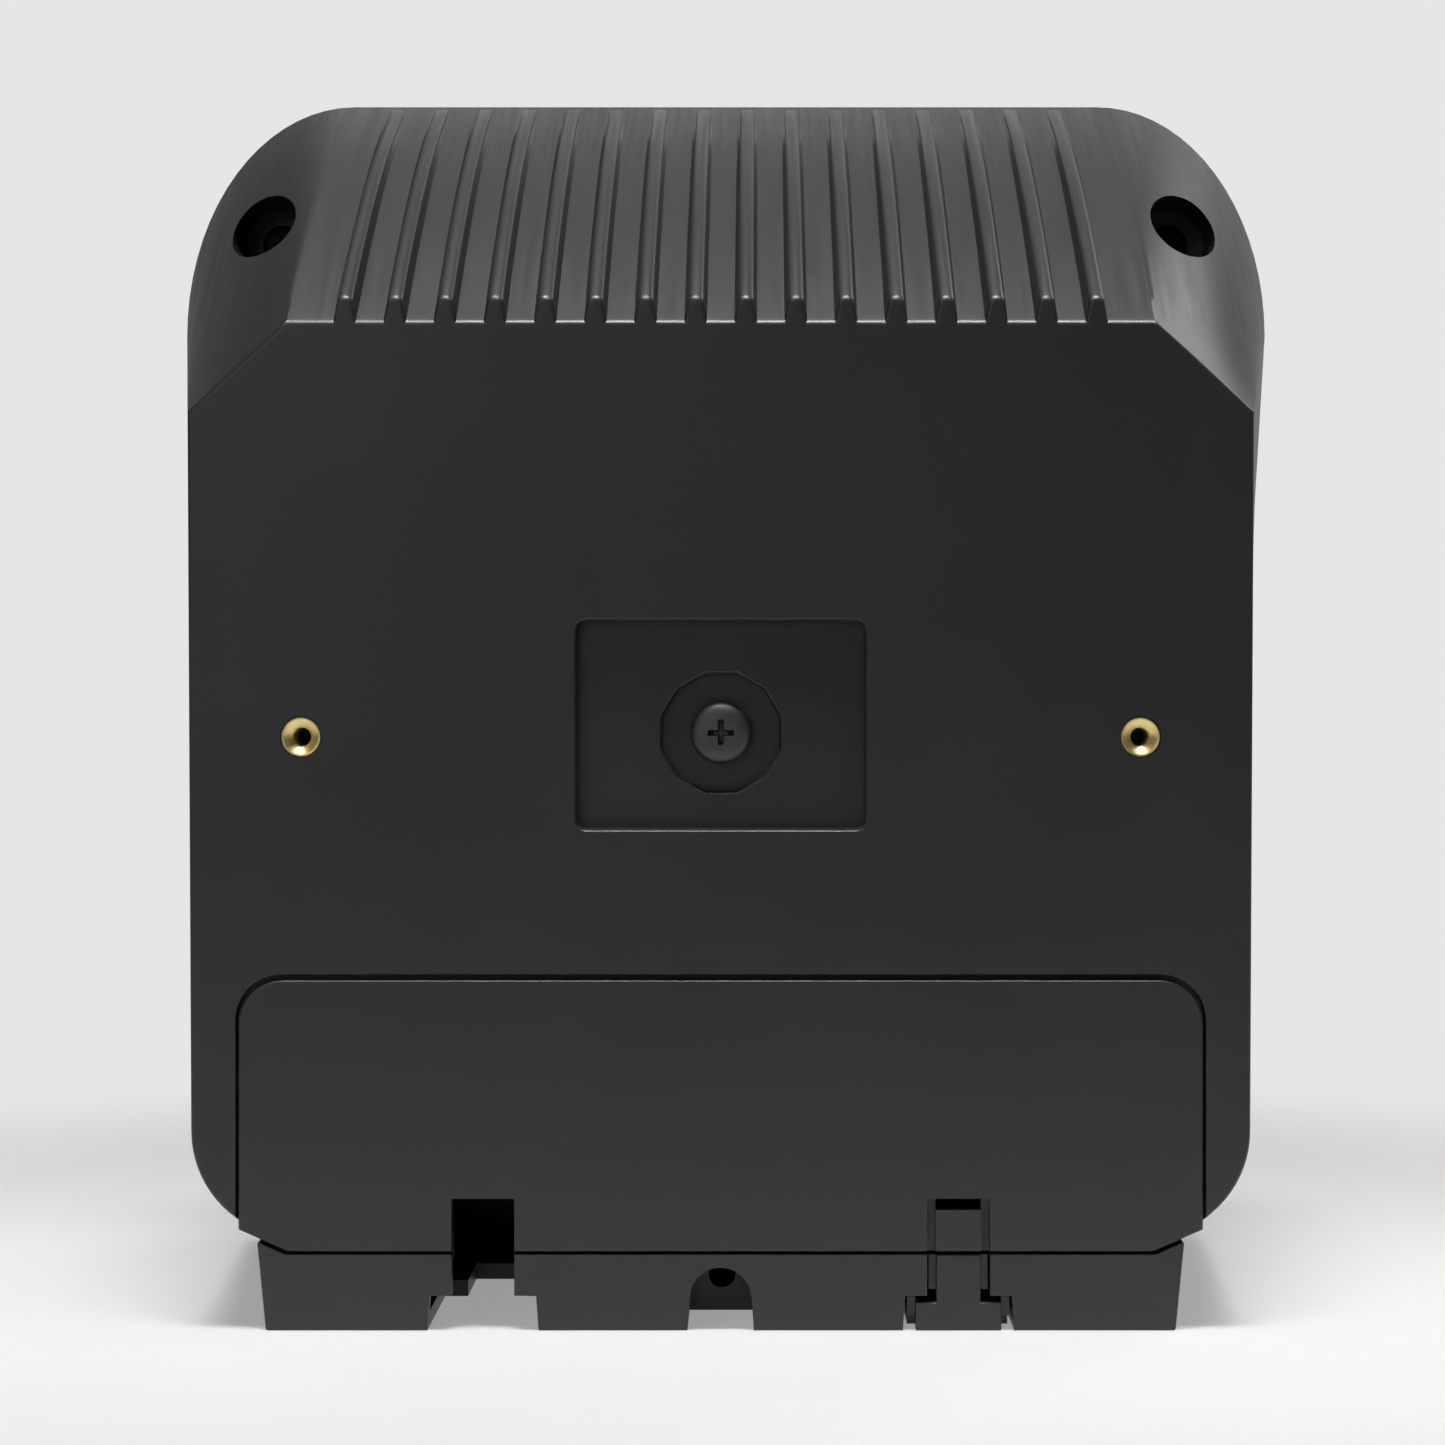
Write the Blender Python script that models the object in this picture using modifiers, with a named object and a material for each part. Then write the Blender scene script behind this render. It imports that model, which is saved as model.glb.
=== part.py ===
"""Wall charge controller: a deep rear shell, a front cover, the wiring cover, and what they hold.

Lengths below are in millimetres and are turned into metres where a mesh is made.
x runs to the right as seen from the back, d is the depth behind the back plane, z runs up from the foot.
"""

import math

import bmesh
import bpy
from mathutils import Matrix, Vector

MM = 0.001

# Housing
REAR_DEPTH = 74.0
SEAL_THICK = 1.3
LID_DEPTH = 8.7
LID_PLATE = 3.0
KEY_PROUD = 1.0
COVER_BACK = REAR_DEPTH + SEAL_THICK
FRONT_FACE = COVER_BACK + LID_DEPTH
PLATE_BACK = FRONT_FACE - LID_PLATE
TOTAL_DEPTH = FRONT_FACE + KEY_PROUD
WALL = 2.5
BULGE = 0.26
RINGS = 8
CORNER_STEPS = 8
CLEARANCE = 0.3

# Back plane outline
BACK_HALF = 80.0
BACK_LOW_HALF = 79.5
BACK_TOP = 151.35
BACK_TOP_HALF = 65.2
BACK_SHOULDER = 137.85
BACK_FOOT = 14.0
BACK_FOOT_RADIUS = 16.0

# Front rim outline
RIM_HALF = 93.3
RIM_LOW_HALF = 85.0
RIM_TOP = 197.3
RIM_TOP_HALF = 64.2
RIM_SHOULDER = 157.6
RIM_FOOT = 0.0
RIM_FOOT_RADIUS = 18.0

# Fins on the slope
FIN_COUNT = 16
FIN_PITCH = 7.53
FIN_WIDTH = 3.3
FIN_HEIGHT = 3.7
FIN_BEGIN = 0.003
FIN_END = 0.95
FIN_ROUND = 1.1

# Skirt and cable outlets
SKIRT_HALF_TOP = 69.6
SKIRT_HALF_FOOT = 68.3
SKIRT_TOP = 11.85
SKIRT_INSIDE = 66.0
OUTLET_X = 35.7
OUTLET_WIDTH = 9.45
OUTLET_TOP = 19.8
OUTLET_DEPTH = 43.0
WING_WIDTH = 16.0
WING_TOP = 5.25
WING_DEPTH = 28.0
ARCH_WIDTH = 9.3
ARCH_TOP = 9.45
ARCH_DEPTH = 16.5
ARCH_HOLE_RADIUS = 2.1
ARCH_HOLE_Z = 5.6

# Wiring cover
COVER_HALF = 72.4
COVER_TOP = 52.6
COVER_FOOT = 12.3
COVER_THICK = 2.5
COVER_RADIUS = 6.5
COVER_CUT_X = 7.5
COVER_CUT_Z = 3.3
COVER_GAP = 0.45
COVER_TOP_GAP = 0.9
LEDGE = 3.5
LEDGE_BACK = 5.3

# Fastening points on the back
INSERT_X = 63.0
INSERT_Z = 89.1
INSERT_RADIUS = 3.0
INSERT_BORE = 1.65
INSERT_LENGTH = 9.0
RECESS_HALF = 21.75
RECESS_LOW = 75.15
RECESS_HIGH = 106.65
RECESS_DEPTH = 3.0
RECESS_RADIUS = 4.0
POCKET_RADIUS = 9.3
POCKET_FLOOR = 4.8
POCKET_BACK = 7.0
CENTRE_Z = 89.7
CENTRE_HEAD_RADIUS = 4.65
CENTRE_HEAD_HEIGHT = 3.2
CENTRE_SHANK_RADIUS = 2.3

# Corner wells
WELL_X = 74.2
WELL_Z = 171.0
WELL_RADIUS = 6.1
WELL_WALL = 2.0
WELL_BEGIN = 8.0
WELL_FLOOR = 58.0

# Boards and what they carry
BOARD_HALF = 64.0
BOARD_LOW = 22.0
BOARD_HIGH = 146.0
BOARD_D = 26.0
BOARD_THICK = 1.6
POST_X = 58.0
POST_LOW = 64.0
POST_HIGH = 138.0
SPREADER_HALF = 46.0
SPREADER_LOW = 62.0
SPREADER_HIGH = 140.0
SPREADER_D = POCKET_BACK + CLEARANCE
SPREADER_THICK = 4.0
TRANSISTOR_XS = (-30.0, -10.0, 10.0, 30.0)
TRANSISTOR_Z = 112.0
TRANSISTOR_WIDTH = 10.0
TRANSISTOR_HEIGHT = 9.0
TRANSISTOR_TAB = 6.5
TRANSISTOR_THICK = 4.5
CHOKE_X = -33.0
CHOKE_Z = 101.0
CHOKE_SIZE = 34.0
CHOKE_HEIGHT = 24.0
CAPACITOR_XS = (2.0, 24.0, 46.0)
CAPACITOR_Z = 104.0
CAPACITOR_RADIUS = 9.0
CAPACITOR_HEIGHT = 32.0
FUSE_Z = 64.0
FUSE_HALF = 9.6
FUSE_THICK = 5.0
FUSE_HEIGHT = 14.5
FUSE_SEAT = 5.5
HOLDER_WALL = 3.7
HOLDER_HEIGHT = 12.0
POLES = 6
POLE_PITCH = 13.0
BLOCK_LOW = 27.0
BLOCK_HIGH = 47.0
BLOCK_D = 6.5
POLE_SCREW_Z = 35.0

# Front cover and its controls
WINDOW_HALF = 33.0
WINDOW_LOW = 124.0
WINDOW_HIGH = 160.0
KEY_Z = 106.0
KEY_XS = (-30.0, -10.0, 10.0, 30.0)
KEY_NAMES = ("key_up", "key_down", "key_enter", "key_escape")
KEY_RADIUS = 5.0
KEY_TRAVEL = 1.0
PIPE_X = 40.0
PIPE_ZS = (130.0, 142.0, 154.0)
PIPE_RADIUS = 2.0
DISPLAY_D = PLATE_BACK - 11.0
DISPLAY_HALF = 47.0
DISPLAY_LOW = 95.0
DISPLAY_HIGH = 172.0
MODULE_MARGIN = 4.5
DISPLAY_POST_INSET = 4.0
LID_BOSS_LENGTH = 16.0
LID_BOSS_RADIUS = 5.0
LID_BOSS_INSET = 6.0
LID_SCREW_SINK = 3.7
LID_SCREW_RADIUS = 1.6
LID_SCREW_HEAD = 3.3
LID_SCREW_HEAD_HEIGHT = 2.4


def clear_scene():
    for obj in list(bpy.data.objects):
        bpy.data.objects.remove(obj, do_unlink=True)


def new_collection(name):
    collection = bpy.data.collections.new(name)
    bpy.context.scene.collection.children.link(collection)
    return collection


clear_scene()
PARTS = new_collection("charge_controller")
TOOLS = new_collection("shaping_tools")


def new_material(name, colour, roughness, metallic):
    material = bpy.data.materials.new(name)
    material.use_nodes = True
    shader = material.node_tree.nodes["Principled BSDF"]
    shader.inputs["Base Color"].default_value = (*colour, 1.0)
    shader.inputs["Roughness"].default_value = roughness
    shader.inputs["Metallic"].default_value = metallic
    return material


BLACK = new_material("black_housing", (0.03, 0.03, 0.032), 0.5, 0.0)
BLACK_COVER = new_material("black_cover", (0.035, 0.035, 0.038), 0.45, 0.0)
BRASS = new_material("brass", (0.7, 0.55, 0.22), 0.3, 1.0)
STEEL = new_material("blackened_steel", (0.08, 0.08, 0.085), 0.35, 1.0)
ZINC = new_material("zinc_steel", (0.6, 0.6, 0.62), 0.35, 1.0)
ALUMINIUM = new_material("aluminium", (0.75, 0.76, 0.78), 0.35, 1.0)
RUBBER = new_material("seal_rubber", (0.02, 0.02, 0.02), 0.8, 0.0)
BOARD_GREEN = new_material("board_green", (0.02, 0.16, 0.06), 0.45, 0.0)
TERMINAL = new_material("terminal_plastic", (0.03, 0.22, 0.1), 0.5, 0.0)
FERRITE = new_material("ferrite", (0.06, 0.06, 0.065), 0.6, 0.0)
SLEEVE = new_material("capacitor_sleeve", (0.03, 0.04, 0.09), 0.35, 0.0)
EPOXY = new_material("epoxy_black", (0.02, 0.02, 0.022), 0.5, 0.0)
FUSE = new_material("fuse_plastic", (0.75, 0.3, 0.03), 0.3, 0.0)
GLASS = new_material("smoked_window", (0.05, 0.06, 0.07), 0.1, 0.0)
SCREEN = new_material("screen", (0.35, 0.42, 0.36), 0.25, 0.0)
KEY_GREY = new_material("key_grey", (0.25, 0.26, 0.28), 0.5, 0.0)
CLEAR = new_material("clear_pipe", (0.8, 0.82, 0.82), 0.15, 0.0)


def place(x, d, z):
    return Vector((x * MM, (d - TOTAL_DEPTH / 2.0) * MM, z * MM))


def make_object(name, mesh_data, material=None):
    obj = bpy.data.objects.new(name, mesh_data)
    if material is None:
        TOOLS.objects.link(obj)
        obj.hide_render = True
        obj.display_type = "WIRE"
    else:
        PARTS.objects.link(obj)
        mesh_data.materials.append(material)
    return obj


def finish_mesh(work, name):
    bmesh.ops.recalc_face_normals(work, faces=work.faces)
    mesh_data = bpy.data.meshes.new(name)
    work.to_mesh(mesh_data)
    work.free()
    return mesh_data


def box(name, x, d, z, material=None):
    """A block between the two ends of each of x, d and z."""
    low = place(x[0], d[0], z[0])
    high = place(x[1], d[1], z[1])
    size = Matrix.Diagonal((*(high - low), 1.0))
    work = bmesh.new()
    bmesh.ops.create_cube(work, size=1.0, matrix=Matrix.Translation((low + high) / 2.0) @ size)
    return make_object(name, finish_mesh(work, name), material)


def rod_between(name, start, end, radius, sides=24, material=None, end_radius=None):
    """A round bar between two points already in metres."""
    axis = end - start
    turn = Vector((0.0, 0.0, 1.0)).rotation_difference(axis).to_matrix().to_4x4()
    work = bmesh.new()
    bmesh.ops.create_cone(
        work,
        cap_ends=True,
        segments=sides,
        radius1=radius * MM,
        radius2=(radius if end_radius is None else end_radius) * MM,
        depth=axis.length,
        matrix=Matrix.Translation((start + end) / 2.0) @ turn,
    )
    return make_object(name, finish_mesh(work, name), material)


def rod(name, x, z, d, radius, sides=24, material=None, end_radius=None):
    """A round bar along the depth, from d[0] to d[1]."""
    return rod_between(name, place(x, d[0], z), place(x, d[1], z), radius, sides, material, end_radius)


def filled_outline(name, outline, thickness):
    """A flat closed outline in its own plane, filled and given a thickness."""
    curve = bpy.data.curves.new(name, "CURVE")
    curve.dimensions = "2D"
    curve.fill_mode = "BOTH"
    curve.extrude = thickness / 2.0
    spline = curve.splines.new("POLY")
    spline.points.add(len(outline) - 1)
    for point, (across, along) in zip(spline.points, outline):
        point.co = (across, along, 0.0, 1.0)
    spline.use_cyclic_u = True
    holder = bpy.data.objects.new(name, curve)
    bpy.context.scene.collection.objects.link(holder)
    mesh_data = bpy.data.meshes.new_from_object(
        holder.evaluated_get(bpy.context.evaluated_depsgraph_get())
    )
    bpy.data.objects.remove(holder, do_unlink=True)
    work = bmesh.new()
    work.from_mesh(mesh_data)
    bmesh.ops.remove_doubles(work, verts=work.verts, dist=1e-6)
    bmesh.ops.dissolve_limit(work, angle_limit=0.001, verts=work.verts, edges=work.edges)
    return work


def slab(name, outline, d, material=None):
    """An outline in x and z, given a thickness from d[0] to d[1]."""
    flat = [(x * MM, z * MM) for x, z in outline]
    work = filled_outline(name, flat, (d[1] - d[0]) * MM)
    middle = place(0.0, (d[0] + d[1]) / 2.0, 0.0)
    stand = Matrix(((1, 0, 0, 0), (0, 0, -1, 0), (0, 1, 0, 0), (0, 0, 0, 1)))
    bmesh.ops.transform(work, matrix=Matrix.Translation(middle) @ stand, verts=work.verts)
    return make_object(name, finish_mesh(work, name), material)


def bar(name, profile, x, material=None):
    """A profile in d and z, drawn across from x[0] to x[1]."""
    flat = [(d * MM, z * MM) for d, z in profile]
    work = filled_outline(name, flat, (x[1] - x[0]) * MM)
    middle = place((x[0] + x[1]) / 2.0, 0.0, 0.0)
    stand = Matrix(((0, 0, 1, 0), (1, 0, 0, 0), (0, 1, 0, 0), (0, 0, 0, 1)))
    bmesh.ops.transform(work, matrix=Matrix.Translation(middle) @ stand, verts=work.verts)
    return make_object(name, finish_mesh(work, name), material)


def shape_with(target, tool, operation):
    change = target.modifiers.new(tool.name, "BOOLEAN")
    change.operation = operation
    change.solver = "EXACT"
    change.object = tool


def cut(target, *tools):
    for tool in tools:
        shape_with(target, tool, "DIFFERENCE")


def add(target, *tools):
    for tool in tools:
        shape_with(target, tool, "UNION")


def soften(obj, width, segments=2, angle=40.0):
    bevel = obj.modifiers.new("soft_edges", "BEVEL")
    bevel.width = width * MM
    bevel.segments = segments
    bevel.limit_method = "ANGLE"
    bevel.angle_limit = math.radians(angle)
    return obj


def arc(centre, radii, start, end, steps):
    """Points on an elliptical arc, angles in degrees."""
    points = []
    for step in range(steps + 1):
        angle = math.radians(start + (end - start) * step / steps)
        points.append((centre[0] + radii[0] * math.cos(angle), centre[1] + radii[1] * math.sin(angle)))
    return points


def mirrored(points):
    return [(-x, z) for x, z in reversed(points)]


def shifted(points, across):
    return [(x + across, z) for x, z in points]


def back_outline(inset):
    """The back plane: chamfered shoulders and rounded feet."""
    half = BACK_LOW_HALF - inset
    foot = BACK_FOOT + inset
    radius = BACK_FOOT_RADIUS - inset
    start = Vector((BACK_TOP_HALF - 0.4 * inset, BACK_TOP - inset))
    end = Vector((BACK_HALF - inset, BACK_SHOULDER - 0.4 * inset))
    right = [tuple(start.lerp(end, step / CORNER_STEPS)) for step in range(CORNER_STEPS + 1)]
    right += arc((half - radius, foot + radius), (radius, radius), 0.0, -90.0, CORNER_STEPS)
    return right + mirrored(right)


def rim_outline(inset):
    """The front rim: wide elliptical shoulders and rounded feet."""
    half = RIM_LOW_HALF - inset
    foot = RIM_FOOT + inset
    radius = RIM_FOOT_RADIUS - inset
    centre = (RIM_TOP_HALF, RIM_SHOULDER)
    radii = (RIM_HALF - RIM_TOP_HALF - inset, RIM_TOP - RIM_SHOULDER - inset)
    right = arc(centre, radii, 90.0, 0.0, CORNER_STEPS)
    right += arc((half - radius, foot + radius), (radius, radius), 0.0, -90.0, CORNER_STEPS)
    return right + mirrored(right)


def swell(share):
    """How far an outline has grown from the back plane's to the rim's."""
    return share + BULGE * share * (1.0 - share)


def housing_outline(share, inset):
    """The outline at a share of the depth: straight at the sides, bulging on the slope."""
    rise = swell(share)
    pairs = zip(back_outline(inset), rim_outline(inset))
    return [(a[0] + (b[0] - a[0]) * share, a[1] + (b[1] - a[1]) * rise) for a, b in pairs]


def loft(name, first, last, inset, material=None):
    """The housing's form between two depths, as rings of the outline joined by faces."""
    work = bmesh.new()
    rings = []
    for step in range(RINGS + 1):
        d = first + (last - first) * step / RINGS
        outline = housing_outline(d / REAR_DEPTH, inset)
        rings.append([work.verts.new(place(x, d, z)) for x, z in outline])
    for near, far in zip(rings, rings[1:]):
        for index in range(len(near)):
            after = (index + 1) % len(near)
            work.faces.new((near[index], near[after], far[after], far[index]))
    work.faces.new(rings[0])
    work.faces.new(rings[-1])
    return make_object(name, finish_mesh(work, name), material)


def lid_screw_spots():
    """Places of the two front screws, kept against the foot's corners where their bosses begin."""
    share = 1.0 - LID_BOSS_LENGTH / REAR_DEPTH
    half = BACK_LOW_HALF + (RIM_LOW_HALF - BACK_LOW_HALF) * share
    foot = BACK_FOOT + (RIM_FOOT - BACK_FOOT) * swell(share)
    radius = BACK_FOOT_RADIUS + (RIM_FOOT_RADIUS - BACK_FOOT_RADIUS) * share
    shift = radius - (radius - LID_BOSS_INSET - 0.2) * math.sqrt(0.5)
    return ((shift - half, foot + shift), (half - shift, foot + shift))


def case_screw_spots():
    """Places of the two upper screws, which go in through the corner wells."""
    return (("left", -WELL_X), ("right", WELL_X))


def slope_height(share):
    return BACK_TOP + (RIM_TOP - BACK_TOP) * swell(share)


def fin(name, x):
    """One raised fin: a hair behind the back plane, fading into the slope near the top."""
    steps = 6
    crest = []
    root = []
    for step in range(steps + 1):
        share = FIN_BEGIN + (FIN_END - FIN_BEGIN) * step / steps
        d = share * REAR_DEPTH
        rise = FIN_HEIGHT * (1.0 - step / steps) ** 0.8
        crest.append((d, slope_height(share) + rise - 0.6 * step / steps))
        root.append((d, slope_height(share) - 1.8))
    piece = bar(name, crest + root[::-1], (x - FIN_WIDTH / 2.0, x + FIN_WIDTH / 2.0))
    weights = piece.data.attributes.new("bevel_weight_edge", "FLOAT", "EDGE")
    for edge in piece.data.edges:
        ends = [piece.data.vertices[index].co for index in edge.vertices]
        flat = abs(ends[0].x - ends[1].x) < 1e-5
        heights = [slope_height((end.y / MM + TOTAL_DEPTH / 2.0) / REAR_DEPTH) - end.z / MM for end in ends]
        if flat and max(heights) < 1.0:
            weights.data[edge.index].value = 1.0
    bevel = piece.modifiers.new("round_crest", "BEVEL")
    bevel.width = FIN_ROUND * MM
    bevel.segments = 2
    bevel.limit_method = "WEIGHT"
    return piece


def cover_outline(grow, top_grow):
    """The wiring cover's outline, made larger or smaller all round."""
    half = COVER_HALF + grow
    top = COVER_TOP + top_grow
    foot = COVER_FOOT - grow
    radius = COVER_RADIUS + grow
    right = arc((half - radius, top - radius), (radius, radius), 90.0, 0.0, 6)
    right += [(half, foot + COVER_CUT_Z), (half - COVER_CUT_X, foot)]
    return right + mirrored(right)


def skirt_outer():
    profile = [
        (SKIRT_HALF_FOOT, 0.0),
        (SKIRT_HALF_TOP, 13.0),
        (SKIRT_HALF_TOP - 4.0, 20.0),
    ]
    return slab("skirt_form", profile + mirrored(profile), (0.0, REAR_DEPTH))


def outlet_cutters(tag, x):
    """The T-shaped cable outlet, from the back wall into the foot."""
    half = OUTLET_WIDTH / 2.0
    wing = WING_WIDTH / 2.0
    stem = box("outlet_stem_" + tag, (x - half, x + half), (-1.0, OUTLET_DEPTH), (-1.0, OUTLET_TOP))
    bars = box("outlet_wings_" + tag, (x - wing, x + wing), (-1.0, WING_DEPTH), (-1.0, WING_TOP))
    return stem, bars


def arch_outline():
    radius = ARCH_WIDTH / 2.0
    top = arc((0.0, ARCH_TOP - radius), (radius, radius), 0.0, 180.0, 10)
    return [(radius, -1.0), *top, (-radius, -1.0)]


def rounded_rectangle(half, low, high, radius, steps=4):
    right = arc((half - radius, high - radius), (radius, radius), 90.0, 0.0, steps)
    right += arc((half - radius, low + radius), (radius, radius), 0.0, -90.0, steps)
    return right + mirrored(right)


def build_cavity():
    """The hollow of the rear shell, with a thicker wall left behind the wiring cover."""
    hollow = loft("hollow_form", WALL, REAR_DEPTH + 1.0, WALL)
    ledge = box("ledge_block", (-100.0, 100.0), (-5.0, LEDGE_BACK), (-10.0, COVER_TOP + LEDGE + 1.5))
    cut(hollow, ledge)
    return hollow


def build_rear_shell():
    shell = loft("rear_shell", 0.0, REAR_DEPTH, 0.0, BLACK)
    add(shell, skirt_outer())
    cut(shell, build_cavity())
    inside = (-SKIRT_INSIDE, SKIRT_INSIDE)
    cut(shell, box("skirt_hollow_back", inside, (WALL, 8.0), (WALL, SKIRT_TOP - 1.2)))
    cut(shell, box("skirt_hollow", inside, (LEDGE_BACK, REAR_DEPTH + 1.0), (WALL, 40.0)))
    for index in range(FIN_COUNT):
        add(shell, fin("fin_%02d" % index, (index - (FIN_COUNT - 1) / 2.0) * FIN_PITCH))
    add_inner_forms(shell)
    cut_openings(shell)
    return shell


def add_inner_forms(shell):
    """Posts, bosses, well tubes, the recess cup and the arch block, all moulded with the shell."""
    for side in (-1.0, 1.0):
        tag = "left" if side < 0 else "right"
        add(shell, rod("insert_boss_" + tag, INSERT_X * side, INSERT_Z, (1.5, 12.0), 5.2))
        for z in (POST_LOW, POST_HIGH):
            name = "board_post_%s_%d" % (tag, int(z))
            add(shell, rod(name, POST_X * side, z, (1.5, BOARD_D - CLEARANCE), 4.0, 16))
    for tag, x in case_screw_spots():
        depth = (WELL_BEGIN, REAR_DEPTH - 0.5)
        tube = rod("well_tube_" + tag, x, WELL_Z, depth, WELL_RADIUS + WELL_WALL, 20)
        shape_with(tube, loft("well_limit_" + tag, 1.0, REAR_DEPTH + 1.0, 1.1), "INTERSECT")
        add(shell, tube)
    for index, (x, z) in enumerate(lid_screw_spots()):
        depth = (REAR_DEPTH - LID_BOSS_LENGTH, REAR_DEPTH)
        add(shell, rod("lid_boss_%d" % index, x, z, depth, LID_BOSS_RADIUS, 16))
    cup = rounded_rectangle(RECESS_HALF + WALL, RECESS_LOW - WALL, RECESS_HIGH + WALL, RECESS_RADIUS)
    add(shell, slab("recess_cup", cup, (1.5, POCKET_BACK)))
    add(shell, box("arch_block", (-7.2, 7.2), (1.5, ARCH_DEPTH + 2.0), (0.0, SKIRT_TOP)))


def cut_openings(shell):
    for side in (-1.0, 1.0):
        tag = "left" if side < 0 else "right"
        cut(shell, rod("insert_hole_" + tag, INSERT_X * side, INSERT_Z, (-1.0, 10.0), INSERT_RADIUS + 0.1))
        for z in (POST_LOW, POST_HIGH):
            name = "post_hole_%s_%d" % (tag, int(z))
            cut(shell, rod(name, POST_X * side, z, (BOARD_D - 12.0, BOARD_D + 1.0), 1.6, 12))
        cut(shell, *outlet_cutters(tag, OUTLET_X * side))
    for tag, x in case_screw_spots():
        cut(shell, rod("well_bore_" + tag, x, WELL_Z, (WELL_BEGIN - 3.0, WELL_FLOOR), WELL_RADIUS))
        depth = (WELL_FLOOR - 2.0, REAR_DEPTH + 1.0)
        cut(shell, rod("well_pass_" + tag, x, WELL_Z, depth, LID_SCREW_RADIUS + CLEARANCE, 12))
    for index, (x, z) in enumerate(lid_screw_spots()):
        depth = (REAR_DEPTH - LID_BOSS_LENGTH + 2.0, REAR_DEPTH + 1.0)
        cut(shell, rod("lid_hole_%d" % index, x, z, depth, LID_SCREW_RADIUS + 0.2, 12))
    cut(shell, slab("arch", arch_outline(), (-1.0, ARCH_DEPTH)))
    cut(shell, rod("arch_hole", 0.0, ARCH_HOLE_Z, (10.0, ARCH_DEPTH + 3.0), ARCH_HOLE_RADIUS, 16))
    recess = rounded_rectangle(RECESS_HALF, RECESS_LOW, RECESS_HIGH, RECESS_RADIUS)
    cut(shell, slab("recess", recess, (-1.0, RECESS_DEPTH)))
    cut(shell, rod("screw_pocket", 0.0, CENTRE_Z, (0.5, POCKET_FLOOR), POCKET_RADIUS, 12))
    cut(shell, rod("screw_hole", 0.0, CENTRE_Z, (3.0, 9.0), CENTRE_SHANK_RADIUS + 0.2))
    seat = cover_outline(COVER_GAP, COVER_TOP_GAP)
    cut(shell, slab("cover_seat", seat, (-1.0, COVER_THICK + CLEARANCE)))
    cut(shell, slab("cover_opening", cover_outline(-LEDGE, -LEDGE), (1.0, 9.0)))


def build_wiring_cover():
    """Flush plate with a plug-in rim, one open notch and one break-out tab."""
    cover = slab("wiring_cover", cover_outline(0.0, 0.0), (0.0, COVER_THICK), BLACK_COVER)
    soften(cover, 0.25, 1, 60.0)
    rim = slab("cover_rim", cover_outline(-LEDGE - 0.5, -LEDGE - 0.5), (1.5, LEDGE_BACK))
    inner = cover_outline(-LEDGE - 2.1, -LEDGE - 2.1)
    cut(rim, slab("cover_rim_hollow", inner, (1.0, LEDGE_BACK + 1.0)))
    add(cover, rim)
    half = OUTLET_WIDTH / 2.0
    notch = (-OUTLET_X - half, -OUTLET_X + half)
    cut(cover, box("cover_notch", notch, (-1.0, 8.0), (0.0, OUTLET_TOP)))
    gap = (OUTLET_X - half, OUTLET_X + half)
    cut(cover, box("tab_gap", gap, (-1.0, 8.0), (OUTLET_TOP - 1.7, OUTLET_TOP)))
    for side in (-1.0, 1.0):
        edge = OUTLET_X + side * half
        inner_edge = OUTLET_X + side * 3.5
        score = (min(edge, inner_edge), max(edge, inner_edge))
        tag = "left" if side < 0 else "right"
        cut(cover, box("tab_score_" + tag, score, (-1.0, 1.3), (0.0, OUTLET_TOP)))
    cut(cover, box("tab_relief", gap, (COVER_THICK, 8.0), (0.0, OUTLET_TOP)))
    return cover


def build_outlet_plug():
    """T-shaped blanking plug: raised face, thin web behind it, and a floor."""
    x = OUTLET_X
    stem = OUTLET_WIDTH / 2.0 - CLEARANCE
    wing = WING_WIDTH / 2.0 - CLEARANCE
    high = SKIRT_TOP - 0.8
    face_stem = stem - 0.95
    face_wing = wing - 1.25
    shoulder = WING_TOP - CLEARANCE
    bar_top = shoulder - 0.75
    tee = [(stem, high - 0.1), (stem, shoulder), (wing, shoulder), (wing, 0.9)]
    face = [(face_stem, high), (face_stem, bar_top), (face_wing, bar_top), (face_wing, 0.0)]
    floor_end = OUTLET_DEPTH - 0.4
    wing_end = WING_DEPTH - 0.4
    plug = slab("outlet_plug", shifted(tee + mirrored(tee), x), (1.2, 2.6), BLACK_COVER)
    add(plug, slab("plug_face", shifted(face + mirrored(face), x), (0.0, 2.0)))
    add(plug, box("plug_floor", (x - stem + 0.1, x + stem - 0.1), (1.8, floor_end), (0.15, 2.2)))
    add(plug, box("plug_floor_wings", (x - wing + 0.1, x + wing - 0.1), (2.2, wing_end), (1.0, 2.1)))
    return plug


def build_insert(name, x):
    insert = rod(name, x, INSERT_Z, (0.05, INSERT_LENGTH), INSERT_RADIUS, 24, BRASS)
    cut(insert, rod(name + "_bore", x, INSERT_Z, (-1.0, INSERT_LENGTH + 1.0), INSERT_BORE, 16))
    mouth = (0.04, 0.8)
    cut(insert, rod(name + "_mouth", x, INSERT_Z, mouth, INSERT_BORE + 0.6, 16, None, INSERT_BORE - 0.1))
    return insert


def pan_screw(name, x, z, seat, head_radius, head_height, tip, shank_radius, material):
    """Pan-head cross-recess screw along the depth; the head stands on the near side of the seat."""
    toward = 1.0 if tip > seat else -1.0
    head_top = seat - toward * head_height
    low, high = sorted((head_top, seat))
    crown = head_radius * 0.72
    radii = (crown, head_radius) if toward > 0 else (head_radius, crown)
    screw = rod(name, x, z, (low, high), radii[0], 16, material, radii[1])
    low, high = sorted((seat - toward * 0.3, tip))
    add(screw, rod(name + "_shank", x, z, (low, high), shank_radius, 10))
    low, high = sorted((head_top - toward * 0.5, head_top + toward * head_height * 0.5))
    wide = head_radius * 0.5
    thin = head_radius * 0.12
    cut(screw, box(name + "_slot_a", (x - wide, x + wide), (low, high), (z - thin, z + thin)))
    cut(screw, box(name + "_slot_b", (x - thin, x + thin), (low, high), (z - wide, z + wide)))
    return screw


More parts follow.
